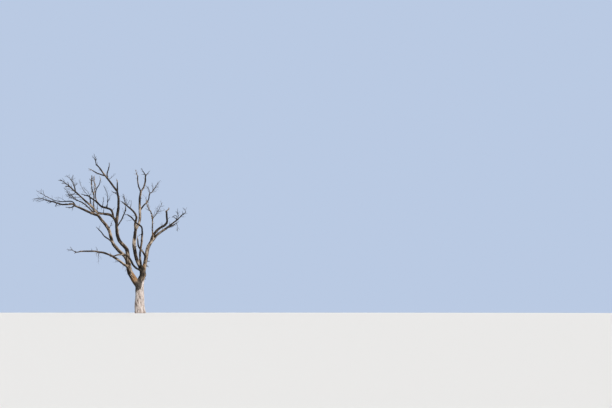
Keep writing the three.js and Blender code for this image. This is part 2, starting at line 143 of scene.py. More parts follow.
# Each mass of twigs grows on from the tip of its limb. Its leaders are main twigs: the first
# from the limb's tip, the others from the first, at that share of its length.
MASSES = [
    ("left_crown_twigs", "left_crown_limb", -3300,
     [(0, [(-3530, 12250), (-3620, 12700)]), (0.45, [(-3780, 12580)])]),
    ("crown_spur_twigs", "crown_spur", -2100, [(0, [(-2420, 12060)])]),
    ("crown_side_twigs", "crown_side_limb", -4300, [(0, [(-4100, 11510)])]),
    ("crown_stub_twigs", "crown_stub", -2000, [(0, [(-1880, 10750)])]),
    ("diagonal_twigs", "diagonal_limb", -4300,
     [(0, [(-5740, 10240), (-6340, 10660)]), (0.05, [(-5300, 10400), (-5860, 11020)])]),
    ("arched_twigs", "arched_limb", -600, [(0, [(-4620, 9510)])]),
    ("hooked_twigs", "hooked_upright", 300, [(0, [(-3220, 10980)])]),
    ("back_left_twigs", "back_left_limb", 4300,
     [(0, [(-5500, 9400), (-5860, 9350)]), (0.3, [(-5860, 9870)])]),
    ("tall_upright_twigs", "tall_upright", 2500,
     [(0, [(-3860, 11020)]), (0.1, [(-3680, 10980)])]),
    ("far_left_twigs", "far_left_reach", 2400,
     [(0, [(-7530, 9040), (-7900, 9220), (-8540, 9140)]), (0.05, [(-6780, 8540)])]),
    ("far_left_upper_twigs", "far_left_upper", 3500, [(0, [(-7850, 9580), (-8300, 9830)])]),
    ("low_left_twigs", "low_left_limb", -3400, [(0, [(-5080, 4870), (-5350, 5000), (-5790, 5100)])]),
    ("short_left_twigs", "short_left_limb", -850, [(0, [(-3500, 6910)])]),
    ("crossing_twigs", "crossing_limb", -2050, [(0, [(-2400, 4500)])]),
    ("riser_twigs", "riser_limb", -450, [(0, [(-1140, 8580)])]),
    ("front_arm_twigs", "front_arm", -2050, [(0, [(-1220, 7860)])]),
    ("inner_spur_twigs", "inner_spur", -80, [(0, [(-170, 6200)])]),
    ("central_left_twigs", "central_left_tip", 1500, [(0, [(-240, 11160), (-340, 11510)])]),
    ("central_right_twigs", "central_right_tip", 3500,
     [(0, [(310, 11320), (130, 11630)]), (0.05, [(790, 11390)])]),
    ("inner_left_twigs", "inner_left_limb", -150,
     [(0, [(-1580, 8990)]), (0.05, [(-1220, 9200), (-1340, 9540)])]),
    ("inner_right_twigs", "inner_right_limb", 3300,
     [(0, [(1050, 9800), (1590, 10620)]), (0.08, [(700, 9950), (480, 10260)])]),
    ("right_upper_twigs", "right_upper_limb", 2900, [(0, [(2420, 8430)])]),
    ("right_lower_twigs", "right_lower_limb", -1200,
     [(0, [(3400, 7850), (3690, 8080), (3500, 8420)]), (0.03, [(2620, 7750)]),
      (0.1, [(3010, 8340)])]),
    ("right_low_side_twigs", "right_low_side", -2100,
     [(0, [(3140, 7330)]), (0.3, [(3030, 6900), (3040, 6500)])]),
    ("right_upright_twigs", "right_upright", -1300,
     [(0, [(880, 8100), (530, 8660)]), (0.05, [(1400, 8050), (1820, 8870)])]),
]

# Side twigs that the photograph shows along the limbs: the limb, how far the twig's tip lies
# behind the place where it springs, and its (right, up) course. It springs where the limb
# shows nearest to the first place of that course.
SIDE_TWIGS = [
    ("low_left_limb", -100, [(-3800, 5060), (-3860, 5200)]),
    ("low_left_limb", -60, [(-3300, 4700), (-3300, 4320), (-3290, 3940)]),
    ("far_left_reach", 350, [(-5380, 8790), (-5980, 8740), (-6300, 8730)]),
    ("far_left_reach", -200, [(-6380, 8620), (-6620, 8600), (-6780, 8540)]),
    ("far_left_upper", 300, [(-5900, 9150), (-6450, 9260), (-6860, 9270)]),
    ("diagonal_limb", -500, [(-5180, 9780), (-5380, 10420), (-5560, 10780), (-5860, 11020)]),
    ("diagonal_limb", -500, [(-4620, 9270), (-4980, 9260), (-5260, 9260), (-5560, 9400)]),
    ("diagonal_limb", 450, [(-5000, 9300), (-5500, 9500), (-5880, 9370)]),
    ("diagonal_limb", -300, [(-5660, 9900), (-5900, 9980), (-6040, 9980)]),
    ("back_left_limb", -500, [(-4140, 8440), (-4340, 8680), (-4540, 8900), (-4980, 9030)]),
    ("back_left_limb", -250, [(-3960, 8480), (-3940, 8740), (-4000, 9300)]),
    ("far_left_reach", 350, [(-3700, 8420), (-3680, 8740), (-3700, 8980)]),
    ("arched_limb", -400, [(-3690, 9860), (-3620, 10340), (-3680, 10660), (-3700, 10980)]),
    ("arched_limb", -350, [(-2540, 9060), (-2340, 9340), (-2180, 9540)]),
    ("arched_limb", -200, [(-1960, 8260), (-1960, 8500)]),
    ("left_crown_limb", 450, [(-2300, 10820), (-2060, 10990), (-1900, 11160)]),
    ("left_crown_limb", 120, [(-3300, 11900), (-3360, 12120)]),
    ("inner_left_limb", 300, [(-1060, 8980), (-1220, 9340), (-1340, 9540)]),
    ("inner_right_limb", 350, [(570, 9020), (460, 9260), (300, 9500)]),
    ("inner_right_limb", -250, [(730, 9020), (800, 9220)]),
    ("inner_right_limb", 250, [(860, 9680), (1060, 9820), (1300, 10100), (1500, 10420)]),
    ("central_right_tip", -450, [(490, 11040), (790, 11390)]),
    ("right_lower_limb", -150, [(1670, 6980), (1660, 7140)]),
    ("right_upper_limb", -250, [(1740, 7140), (1750, 7300)]),
    ("right_upper_limb", 250, [(2380, 7540), (2440, 7700)]),
    ("right_upright", 350, [(1220, 8300), (1320, 8420)]),
    ("right_upright", -300, [(1540, 8420), (1740, 8300)]),
    ("left_bough", -220, [(-1010, 3520), (-1180, 3620)]),
    ("left_bough", -260, [(-960, 3440), (-1130, 3430), (-1180, 3300)]),
    ("low_left_limb", -160, [(-1900, 4340), (-1890, 4180), (-1910, 4020)]),
    ("low_left_limb", 140, [(-3340, 4850), (-3460, 4640), (-3400, 4500)]),
    ("left_bough", 180, [(-900, 3160), (-1080, 3080)]),
    ("low_left_limb", -220, [(-1330, 3900), (-1370, 3560)]),
]

# The stouter of them, each with its radius where it springs and the number of its shade too
STOUT_TWIGS = [
    ("arched_limb", 150, 46, 0, [(-3960, 9290), (-3940, 8980), (-3920, 8660), (-3870, 8340)]),
    ("arched_limb", 220, 48, 0, [(-3900, 9300), (-4180, 9400), (-4400, 9450), (-4700, 9530)]),
    ("diagonal_limb", 300, 26, 0, [(-5080, 9640), (-5360, 9480), (-5560, 9400), (-5900, 9460)]),
    ("diagonal_limb", -420, 50, 0,
     [(-5000, 9590), (-5300, 9850), (-5640, 10140), (-5980, 10400), (-6360, 10680)]),
    ("back_left_limb", 200, 28, 0,
     [(-4940, 9020), (-5300, 9160), (-5560, 9360), (-5760, 9600), (-5900, 9900), (-6080, 10010)]),
    ("arched_limb", 500, 34, 0,
     [(-2520, 8700), (-2560, 9100), (-2600, 9460), (-2680, 9740), (-2790, 10020), (-2900, 10220)]),
    ("arched_limb", 200, 28, 0, [(-2900, 8760), (-2900, 9000), (-2880, 9300)]),
    ("diagonal_limb", 500, 36, 0, [(-3400, 8060), (-3390, 8400), (-3370, 8620), (-3350, 8780)]),
    ("diagonal_limb", 300, 30, 0, [(-2890, 7960), (-2880, 8260), (-2850, 8500)]),
    ("far_left_reach", -250, 52, 0, [(-5200, 8600), (-5400, 8500), (-5600, 8470), (-5940, 8470)]),
    ("far_left_reach", -120, 52, 0,
     [(-6440, 8780), (-6800, 8890), (-7200, 8970), (-7560, 9060), (-7900, 9200)]),
    ("left_tall_limb", -350, 40, 0, [(-1880, 9550), (-2060, 9640), (-2240, 9750)]),
    ("tall_upright", -150, 46, 1, [(-3860, 10300), (-3870, 10560), (-3830, 10860), (-3850, 11060)]),
    ("tall_upright", 350, 46, 2,
     [(-3690, 9560), (-3590, 9900), (-3560, 10140), (-3620, 10440), (-3660, 10700), (-3600, 11000)]),
    ("arched_limb", 350, 20, 1, [(-4000, 9300), (-4440, 9760), (-4680, 10160), (-4860, 10640)]),
    ("arched_limb", -300, 18, 1, [(-4010, 9310), (-4160, 9700), (-4360, 9920), (-4560, 10120)]),
    ("riser_limb", 100, 46, 0, [(-1150, 8180), (-1120, 8380), (-1160, 8640)]),
    ("far_left_limb", -300, 30, 1, [(-2440, 6760), (-2340, 6980), (-2260, 7180), (-2180, 7440)]),
    ("low_left_limb", 150, 26, 0, [(-3370, 5020), (-3420, 5160), (-3500, 5300)]),
    ("inner_left_limb", 200, 26, 0, [(-1010, 8760), (-1030, 8980), (-1040, 9160)]),
    ("inner_left_limb", -250, 26, 0, [(-960, 8720), (-880, 8880), (-790, 9050)]),
    ("inner_left_limb", 250, 24, 0, [(-660, 8520), (-670, 8800), (-700, 9060)]),
    ("front_limb", -150, 24, 0, [(60, 6320), (-20, 6260), (-110, 6130)]),
    ("trunk", -60, 40, 0, [(380, 2690), (490, 2730)]),
    ("right_bough", 250, 40, 0, [(640, 4140), (830, 4160)]),
    ("right_bough", -180, 40, 0, [(600, 3820), (720, 3700)]),
    ("right_upright", -250, 54, 2, [(1000, 7720), (880, 8100), (600, 8560), (540, 9020)]),
    ("right_lower_limb", 250, 26, 1, [(2890, 7480), (2950, 7780), (2740, 7790), (2560, 7640)]),
    ("right_lower_limb", -500, 24, 1, [(2264, 6690), (2624, 6920), (2960, 7260)]),
]

# The radius at a stouter twig's tip, as a share of the radius where it springs
STOUT_TIP = 0.4

# How a limb bends and is measured, as in the part's source
TAPER = 1.4
BACK_EASE = 0.85
BACK_SWAY = 0.05
BACK_WAVES = 2.5
LIMB_STEP = 300
LEAST_LIMB_STEPS = 3
LEAST_TWIG_STEPS = 2
CURVE_DIVISIONS = 200
HEADING_STEP = 1e-4
PARALLEL = 1e-12

# The rule that twigs branch by: as in the part's source, then carried to finer orders
TWIG = {
    "step": 320, "sunk": 60, "stem_share": 0.94, "fork_share": 0.8, "tip_radius": 9,
    "every": 400, "share": (0.25, 0.95), "angle": (0.6, 1.15), "length": (0.35, 0.6),
    "shorter_by": 0.7, "least": 110, "most": 650, "shoot_share": 0.62, "wander": 0.16,
    "orders": 2, "spread": 520, "clear": 25,
}
FINE = {
    **TWIG, "step": 90, "tip_radius": 3, "every": 210, "share": (0.2, 0.97),
    "angle": (0.4, 0.95), "length": (0.3, 0.6), "least": 70, "most": 420,
    "shoot_share": 0.5, "orders": 2, "clear": 4,
}

# A side twig's radius: its share of the limb's radius, and the least and the most that it is
SIDE_TWIG_RADIUS = (0.34, 13, 24)

# Short side twigs dealt along every limb that is slim enough
SPRIG = {"every": 900, "share": (0.12, 0.97), "angle": (0.6, 1.15), "length": (160, 560),
         "radius": (0.26, 8, 15), "wander": 0.14, "stoutest": 105, "clear": 12}

# The generator's own numbers, as in the part's source, and the seed of each run of draws
DRAW = {"step": 0x6D2B79F5, "whole": 0xFFFFFFFF, "shifts": (15, 7, 14), "odd": (1, 61)}
SPRIG_SEED = 4021
FINE_SEED = 700
STUB_SEED = 91
KNOT_SEED = 58
TWIG_SEED = 33


# Curves
class Curve:
    """A centripetal Catmull-Rom curve through its places, measured by length."""

    def __init__(self, places):
        self.places = np.array(places, dtype=float)
        self.divisions = np.linspace(0, 1, CURVE_DIVISIONS + 1)
        self.travelled = travelled_along(self.smooth(self.divisions))
        self.length = self.travelled[-1]

    def smooth(self, shares):
        places = self.places
        padded = np.vstack([2 * places[0] - places[1], places, 2 * places[-1] - places[-2]])
        level = np.clip(shares, 0, 1) * (len(places) - 1)
        left = np.minimum(level.astype(int), len(places) - 2)
        t = (level - left)[:, None]
        p0, p1, p2, p3 = (padded[left + k] for k in range(4))
        d0, d1, d2 = (
            np.sqrt(np.linalg.norm(b - a, axis=1, keepdims=True))
            for a, b in ((p0, p1), (p1, p2), (p2, p3))
        )
        leaving = ((p1 - p0) / d0 - (p2 - p0) / (d0 + d1) + (p2 - p1) / d1) * d1
        arriving = ((p2 - p1) / d1 - (p3 - p1) / (d1 + d2) + (p3 - p2) / d2) * d1
        second = -3 * p1 + 3 * p2 - 2 * leaving - arriving
        third = 2 * p1 - 2 * p2 + leaving + arriving
        return p1 + leaving * t + second * t ** 2 + third * t ** 3

    def own_share(self, shares):
        return np.interp(np.asarray(shares) * self.length, self.travelled, self.divisions)

    def at(self, shares):
        return self.smooth(self.own_share(np.atleast_1d(shares)))

    def heading(self, share):
        middle = self.own_share([share])[0]
        ends = self.smooth(np.array([middle - HEADING_STEP, middle + HEADING_STEP]))
        return unit(ends[1] - ends[0])


def unit(vector):
    return vector / np.linalg.norm(vector, axis=-1, keepdims=True)


def travelled_along(points):
    """How far each point lies from the first one, measured along the run."""
    steps = np.linalg.norm(np.diff(points, axis=0), axis=1)
    return np.concatenate([[0], np.cumsum(steps)])


def nearest(value):
    """The nearest whole number, and the next one up from a half."""
    return math.floor(value + 0.5)


def ease(share):
    share = np.clip(share, 0, 1)
    return share * share * (3 - 2 * share)


def course_curve(start, course, back, turn):
    places = [(start[0], 0, start[2])] + [(right, 0, up) for right, up in course]
    places = np.array(places, dtype=float)
    travelled = travelled_along(places)
    share = travelled / travelled[-1]
    sway = np.sin(np.pi * share) * np.sin(BACK_WAVES * np.pi * share + turn)
    places[:, 1] = start[1] + (back - start[1]) * share ** BACK_EASE
    places[:, 1] += BACK_SWAY * travelled[-1] * sway
    return Curve(places)


def trunk_shoulder(height):
    return ease((height - TRUNK["shoulder_from"]) / (TRUNK["shoulder_to"] - TRUNK["shoulder_from"]))


def trunk_radius(height):
    flare = (TRUNK["foot"] - TRUNK["stem"]) * np.exp(-(height / TRUNK["flare_height"]) ** 2)
    return TRUNK["stem"] + flare - trunk_shoulder(height) * (TRUNK["stem"] - TRUNK["neck"])


def trunk_lean(height):
    share = (height - TRUNK["lean_from"]) / (TRUNK["lean_to"] - TRUNK["lean_from"])
    return TRUNK["neck_lean"] * ease(share)


def trunk_curve():
    heights = np.linspace(0, TRUNK["height"], TRUNK["rings"] + 1)
    return Curve([(trunk_lean(height), 0, height) for height in heights])


def tapered(start, tip):
    return lambda share: start + (tip - start) * np.asarray(share, dtype=float) ** TAPER


# Random draws, the same in every run
def seeded_random(seed):
    state = seed
    whole = DRAW["whole"]
    first, second, last = DRAW["shifts"]
    one, other = DRAW["odd"]

    def draw():
        nonlocal state
        state = (state + DRAW["step"]) & whole
        mixed = ((state ^ (state >> first)) * (one | state)) & whole
        mixed = (mixed + (((mixed ^ (mixed >> second)) * (other | mixed)) & whole) & whole) ^ mixed
        return ((mixed ^ (mixed >> last)) & whole) / (whole + 1)

    return draw


def pick(span, random):
    return span[0] + (span[1] - span[0]) * random()


def dealt_share(span, index, count, random):
    """A place in one of the equal parts that a span is dealt into."""
    return span[0] + (span[1] - span[0]) * (index + random()) / count


def scatter(random):
    return np.array([random() - 0.5, random() - 0.5, random() - 0.5])


# Clearances, with every limb and twig as a chain of straight rods
def rods_of(curve, radius_at, steps):
    points = curve.at(np.linspace(0, 1, steps + 1))
    radii = radius_at(np.arange(steps) / steps)
    return np.hstack([points[:-1], points[1:], np.reshape(radii, (-1, 1))])


def rod_distances(ones, others):
    """The least distance between each of some rods and each of some others."""
    a = (ones[:, 3:6] - ones[:, :3])[:, None, :]
    b = (others[:, 3:6] - others[:, :3])[None, :, :]
    between = ones[:, None, :3] - others[None, :, :3]
    aa, bb, ab = (a * a).sum(-1), (b * b).sum(-1), (a * b).sum(-1)
    aw, bw = (a * between).sum(-1), (b * between).sum(-1)
    spread = aa * bb - ab * ab
    apart = spread > PARALLEL
    level = np.where(apart, np.clip((ab * bw - bb * aw) / np.where(apart, spread, 1), 0, 1), 0)
    along_other = np.clip((ab * level + bw) / bb, 0, 1)
    along_one = np.clip((ab * along_other - aw) / aa, 0, 1)
    return np.linalg.norm(between + a * along_one[..., None] - b * along_other[..., None], axis=-1)


class Taken:
    """The rods that a new twig keeps clear of, each with the name of what it belongs to."""

    def __init__(self):
        self.rods = np.zeros((0, 7))
        self.owners = np.zeros(0, dtype=object)

    def add(self, rods, owner):
        self.rods = np.vstack([self.rods, rods])
        self.owners = np.concatenate([self.owners, np.full(len(rods), owner, dtype=object)])

    def meets(self, rods, clear, own=None):
        reach = rods[:, 6].max() + clear
        low = np.minimum(rods[:, :3], rods[:, 3:6]).min(axis=0) - reach
        high = np.maximum(rods[:, :3], rods[:, 3:6]).max(axis=0) + reach
        near = (np.maximum(self.rods[:, :3], self.rods[:, 3:6]) + self.rods[:, 6:] > low).all(axis=1)
        near &= (np.minimum(self.rods[:, :3], self.rods[:, 3:6]) - self.rods[:, 6:] < high).all(axis=1)
        near &= self.owners != own
        if not near.any():
            return False
        others = self.rods[near]
        reached = rods[:, 6][:, None] + others[:, 6][None, :] + clear
        return bool((rod_distances(rods, others) < reached).any())


# Limbs and twigs
class Limb:
    """A limb's curve and its radius at a share of its length, in millimetres."""

    def __init__(self, name, curve, radius_at):
        self.name = name
        self.curve = curve
        self.radius_at = radius_at

    def steps(self):
        return max(LEAST_LIMB_STEPS, nearest(self.curve.length / LIMB_STEP))


class Twig:
    """A twig's curve, its radius at a share of its length, and its rods, in millimetres."""

    def __init__(self, curve, radius, rule, order):
        self.curve = curve
        self.start_radius = radius
        self.tip_radius = min(radius, rule["tip_radius"])
        self.steps = max(LEAST_TWIG_STEPS, nearest(curve.length / rule["step"]))
        self.order = order
        self.rods = rods_of(curve, self.radius_at, self.steps)

    def radius_at(self, share):
        share = np.asarray(share, dtype=float)
        return self.start_radius + (self.tip_radius - self.start_radius) * share


def trunk_radius_at(share):
    return trunk_radius(np.asarray(share) * TRUNK["height"])


def grow_limbs():
    limbs = {"trunk": Limb("trunk", trunk_curve(), trunk_radius_at)}
    for turn, (name, source, at, radius, back, course) in enumerate(LIMBS):
        start = limbs[source].curve.at(at)[0]
        limbs[name] = Limb(name, course_curve(start, course, back, turn), tapered(*radius))
    return limbs


def leader_twigs(mass, limb):
    name, _, back, leaders = mass
    end = limb.curve.at(1)[0]
    heading = limb.curve.heading(1)
    stem_start = end - heading * TWIG["sunk"]
    twigs = []
    for at, course in leaders:
        if twigs:
            curve = course_curve(twigs[0].curve.at(at)[0], course, back, len(twigs))
            radius = float(twigs[0].radius_at(at)) * TWIG["fork_share"]
        else:
            curve = course_curve(stem_start, course, back, 0)
            places = np.insert(curve.places, 1, end + heading * TWIG["sunk"], axis=0)
            curve = Curve(places)
            radius = float(limb.radius_at(1)) * TWIG["stem_share"]
        twigs.append(Twig(curve, radius, TWIG, 0))
    return twigs


def bent_curve(parent, at, rule, length_of, random):
    """A short bent curve that leaves a limb or twig at a random angle, and its length."""
    start = parent.curve.at(at)[0]
    along = parent.curve.heading(at)
    across = unit(np.cross(scatter(random), along))
    angle = pick(rule["angle"], random)
    heading = along * math.cos(angle) + across * math.sin(angle)
    length = length_of(pick(rule["length"], random))
    sway = scatter(random) * length * rule["wander"]
    return Curve([start, start + heading * length / 2 + sway, start + heading * length]), length


def shoot_from(parent, at, rule, random):
    reach = parent.curve.length * (1 - at * rule["shorter_by"])
    curve, length = bent_curve(
        parent, at, rule, lambda share: min(rule["most"], reach * share), random,
    )
    if length < rule["least"]:
        return None
    return Twig(curve, float(parent.radius_at(at)) * rule["shoot_share"], rule, parent.order + 1)


def grow_shoots(parents, spine, taken, rule, random, own=None):
    """Every order of shoots on some twigs, each clear of what stands and near its spine."""
    grown = []
    for _ in range(rule["orders"]):
        shoots = []
        for parent in parents:
            count = max(1, nearest(parent.curve.length / rule["every"]))
            for i in range(count):
                share = dealt_share(rule["share"], i, count, random)
                shoot = shoot_from(parent, share, rule, random)
                if shoot is None or taken.meets(shoot.rods, rule["clear"], own):
                    continue
                if (rod_distances(shoot.rods, spine).min(axis=1) > rule["spread"]).any():
                    continue
                shoots.append(shoot)
        grown += shoots
        parents = shoots
    return grown


def grow_masses(limbs, taken):
    masses = {}
    for index, mass in enumerate(MASSES):
        leaders = leader_twigs(mass, limbs[mass[1]])
        spine = np.vstack([twig.rods for twig in leaders])
        twigs = leaders + grow_shoots(leaders, spine, taken, TWIG, seeded_random(index + 1))
        masses[mass[0]] = twigs
        taken.add(np.vstack([twig.rods for twig in twigs]), mass[0])
    return masses


class Growth:
    """The twigs of one mass or one side twig, under the name of that mass or of its limb."""

    def __init__(self, owner, twigs, spine, tone=None):
        self.owner = owner
        self.twigs = twigs
        self.spine = spine
        self.tone = tone


def nearest_share(limb, place):
    """The share of a limb's length that shows nearest to a (right, up) place."""
    shares = np.linspace(0, 1, CURVE_DIVISIONS + 1)
    points = limb.curve.at(shares)
    return shares[np.argmin((points[:, 0] - place[0]) ** 2 + (points[:, 2] - place[1]) ** 2)]


def held(value, low, high):
    return min(high, max(low, value))


def side_curve(limb, behind, course, turn):
    """A side twig's curve, and the share of its limb's length where it springs."""
    share = nearest_share(limb, course[0])
    start = limb.curve.at(share)[0]
    return course_curve(start, course[1:], start[1] + behind, turn), share


def side_twigs(limbs):
    grown = []
    part, least, most = SIDE_TWIG_RADIUS
    for turn, (name, behind, course) in enumerate(SIDE_TWIGS):
        curve, share = side_curve(limbs[name], behind, course, turn)
        radius = held(float(limbs[name].radius_at(share)) * part, least, most)
        twig = Twig(curve, radius, FINE, 1)
        grown.append(Growth(name, [twig], twig.rods))
    for turn, (name, behind, radius, tone, course) in enumerate(STOUT_TWIGS):
        curve, _ = side_curve(limbs[name], behind, course, turn)
        twig = Twig(curve, radius, {**FINE, "tip_radius": radius * STOUT_TIP}, 1)
        grown.append(Growth(name, [twig], twig.rods, tone))
    return grown


def sprigs(limbs, taken, random):
    """Short side twigs dealt along every limb that is slim enough, clear of what stands."""
    grown = []
    part, least, most = SPRIG["radius"]
    for name, limb in limbs.items():
        count = nearest(limb.curve.length / SPRIG["every"])
        for i in range(count):
            share = dealt_share(SPRIG["share"], i, count, random)
            thickness = float(limb.radius_at(share))
            curve, _ = bent_curve(limb, share, SPRIG, lambda length: length + thickness, random)
            if name == "trunk" or thickness > SPRIG["stoutest"]:
                continue
            twig = Twig(curve, held(thickness * part, least, most), FINE, 1)
            if not taken.meets(twig.rods[1:], SPRIG["clear"], name):
                grown.append(Growth(name, [twig], twig.rods))
    return grown


def grow_tree():
    """The limbs, and every growth of twigs with the name of the node or limb that it grows on."""
    limbs = grow_limbs()
    taken = Taken()
    for name, limb in limbs.items():
        taken.add(rods_of(limb.curve, limb.radius_at, limb.steps()), name)
    growths = []
    for name, twigs in grow_masses(limbs, taken).items():
        growths.append(Growth(name, twigs, np.vstack([twig.rods for twig in twigs])))
    beside = side_twigs(limbs)
    for growth in beside:
        taken.add(growth.spine, growth.owner)
    short = sprigs(limbs, taken, seeded_random(SPRIG_SEED))
    for growth in short:
        taken.add(growth.spine, growth.owner)
    growths += beside + short
    for index, growth in enumerate(growths):
        random = seeded_random(FINE_SEED + index)
        growth.twigs = growth.twigs + grow_shoots(
            growth.twigs, growth.spine, taken, FINE, random, growth.owner,
        )
    return limbs, growths


# The bark's skin: every limb as a round tube, fused at its forks, then drawn in relief. A tube
# has a collar at its root, wobbles a little and ends in a dome. Sizes are in metres, or a share
# of the radius, and each kind of relief has how far its pattern runs across and along the grain.
SKIN = {
    "voxel": 0.016, "sides": 30, "ring": 0.05, "least_rings": 4, "bury": 0.08, "reach": 2.2,
    "collar": 0.5, "collar_length": 1.3,
    "wobble": 0.26, "wobble_length": 7, "wobble_slack": 0.2, "wobble_seeds": (7.3, 11.1),
    "wobble_from": 0.1, "wobble_end": 6,
    "dome": (0.35, 0.65, 0.85), "dome_reach": 0.7, "tip_reach": 0.6,
    "smoothings": 2, "smoothing": 0.6, "fork_smoothings": 16, "fork_smoothing": 0.75,
    "fork_from": 1.6, "fork_least": 0.01,
    "web_rate": 2.2, "web_smoothings": 4, "web_smoothing": 0.8,
}
RELIEF = {
    "twist": 0.35, "inset": 0.03,
    "flute_share": 0.13, "flute_across": 1.5, "flute_along": 0.9,
    "ridge_across": 0.055, "ridge_along": 0.5, "ridge_height": 0.014, "ridge_share": 0.13,
    "ridge_finer": (2.1, 1.7), "ridge_finer_share": 0.5, "ridge_full": 0.55, "ridge_level": 0.6,
    "split_across": 0.19, "split_along": 1.5, "split_offset": 5.7, "split_width": 0.16,
    "split_height": 0.03, "split_share": 0.14,
    "grain_across": 0.026, "grain_along": 0.2, "grain_height": 0.004, "grain_share": 0.05,
    "patch_size": 0.5, "patch_offset": 17.3, "patch_layers": (1.0, 3), "patch_height": 0.007,
    "patch_share": 0.06, "plate_from": 0.05, "plate_rate": 9,
}
STUB = {"every": 1.7, "share": (0.12, 0.84), "radius": (0.2, 0.36), "least": 0.019, "most": 0.048,
        "tip": 0.42, "length": (0.03, 0.17), "angle": (0.6, 1.25), "bend": 0.15, "sides": 10,
        "stations": 6, "trunk_from": 1.6}
KNOT = {"every": 1.1, "size": (0.3, 0.55), "least_voxels": 2, "height": 0.16, "reach": 2.5,
        "hollow": 1.1, "hollow_size": 0.4}

# How far each limb's pattern lies along the grain from the last one's, and how far it is turned
GRAIN_SPACING = 3.7
GRAIN_TURN = 2.1

# A frame starts from the right, or from above where its limb heads this far to the side
SIDEWAYS = 0.9

# How many corners of the skin are measured at once, the radius of a corner with no second limb
# near it, and the least that two divisions are by
BATCH = 20000
SPARE_RADIUS = 0.05
LEAST_SCORE = 1e-6
LEAST_OFFSET = 1e-9

# How much finer each layer of a mottled pattern is than the last
LAYER_RATE = 2.0

# Burls that show in the outline, each with its middle, its size and how far it stands out
BURLS = (
    ((0.42, -0.05, 3.06), 0.17, 0.07),
    ((-3.36, -0.9, 8.78), 0.14, 0.05),
)


class Stations:
    """Places along a limb with a frame that turns as little as it can, in metres."""

    def __init__(self, name, points, radii, depth=None):
        self.name = name
        self.points = points
        self.radii = radii
        self.depth = np.ones(len(points)) if depth is None else depth
        self.headings = unit(np.gradient(points, axis=0))
        self.normals = np.zeros_like(points)
        sideways = abs(self.headings[0][0]) >= SIDEWAYS
        normal = np.array([0, 0, 1.0]) if sideways else np.array([1.0, 0, 0])
        for i, heading in enumerate(self.headings):
            normal = unit(normal - heading * normal.dot(heading))
            self.normals[i] = normal
        self.overs = np.cross(self.headings, self.normals)
        self.travelled = travelled_along(points)

    def outward(self, index, turn):
        return self.normals[index] * math.cos(turn) + self.overs[index] * math.sin(turn)

    def lengthened(self, before, after):
        """A copy that repeats its first and its last station so many times more."""
        rows = np.clip(np.arange(-before, len(self.points) + after), 0, len(self.points) - 1)
        made = copy.copy(self)
        for name in ("points", "radii", "depth", "headings", "normals", "overs"):
            setattr(made, name, getattr(self, name)[rows])
        return made


def limb_stations(limb, parent_radius, index):
    """A limb's stations, thickened at its root by a collar unless it carries on a stout parent."""
    count = max(SKIN["least_rings"], math.ceil(limb.curve.length * MM / SKIN["ring"]))
    shares = np.linspace(0, 1, count + 1)
    points = limb.curve.at(shares) * MM
    radii = limb.radius_at(shares) * MM
    if limb.name == "trunk":
        depth = 1 + TRUNK["neck_deepening"] * trunk_shoulder(shares * TRUNK["height"])
        return Stations(limb.name, points, radii, depth)
    travelled = shares * limb.curve.length * MM
    beyond = np.maximum(0, travelled - parent_radius) / (SKIN["collar_length"] * radii[0])
    collar = SKIN["collar"] * max(0, 1 - radii[0] / parent_radius)
    radii = radii * (1 + collar * np.exp(-beyond ** 2))
    of_limb, of_axis = SKIN["wobble_seeds"]
    wobble = []
    for place, radius in zip(travelled, radii):
        level = place / (SKIN["wobble_length"] * radius + SKIN["wobble_slack"])
        spots = [(level, index * of_limb, axis * of_axis) for axis in range(3)]
        wobble.append([noise.noise(spot) * radius for spot in spots])
    faded = ease(travelled / (2 * parent_radius + SKIN["wobble_from"]))
    faded = faded * ease((1 - shares) * SKIN["wobble_end"])
    points = points + np.array(wobble) * (SKIN["wobble"] * faded)[:, None]
    return Stations(limb.name, points, radii)


def trunk_swell(around, height):
    """How far the trunk's foot spreads in lobes, as in the part's source."""
    lobe = TRUNK["buttress_depth"] * np.exp(-height / MM / TRUNK["buttress_height"])
    return 1 + lobe * np.cos(TRUNK["buttresses"] * around)


def tube(rows, sides, swell=None):
    """A closed tube round some stations: its corners, and its faces as triangles."""
    angles = np.arange(sides) * 2 * np.pi / sides
    across = np.cos(angles)[None, :, None] * rows.normals[:, None, :]
    over = np.sin(angles)[None, :, None] * rows.overs[:, None, :] * rows.depth[:, None, None]
    reach = rows.radii[:, None, None] * (1 if swell is None else swell[:, :, None])
    rings = rows.points[:, None, :] + reach * (across + over)
    tip = rows.points[-1] + rows.headings[-1] * rows.radii[-1] * SKIN["tip_reach"]
    corners = np.vstack([rings.reshape(-1, 3), rows.points[:1], tip[None]])
    count = len(rows.points)
    ring, side = np.meshgrid(np.arange(count - 1), np.arange(sides), indexing="ij")
    a = (ring * sides + side).ravel()
    b = (ring * sides + (side + 1) % sides).ravel()
    c, d = b + sides, a + sides
    root, end = count * sides, count * sides + 1
    first = np.arange(sides)
    second = (first + 1) % sides
    last = (count - 1) * sides
    faces = np.vstack([
        np.stack([a, b, c], axis=1), np.stack([a, c, d], axis=1),
        np.stack([second, first, np.full(sides, root)], axis=1),
        np.stack([last + first, last + second, np.full(sides, end)], axis=1),
    ])
    return corners, faces


def limb_tube(stations):
    """A limb's round tube with a domed tip. The trunk's goes a little below the ground."""
    is_trunk = stations.name == "trunk"
    dome = np.array(SKIN["dome"])
    rows = stations.lengthened(1 if is_trunk else 0, len(dome))
    swell = None
    if is_trunk:
        rows.points[0] = (0, 0, -SKIN["bury"])
        angles = np.arange(SKIN["sides"]) * 2 * np.pi / SKIN["sides"]
        swell = trunk_swell(angles[None, :], np.maximum(0, rows.points[:, 2])[:, None])
    rise = dome * rows.radii[-1] * SKIN["dome_reach"]
    rows.points[-len(dome):] += rows.headings[-1] * rise[:, None]
    rows.radii[-len(dome):] *= np.sqrt(1 - dome ** 2)
    return tube(rows, SKIN["sides"], swell)


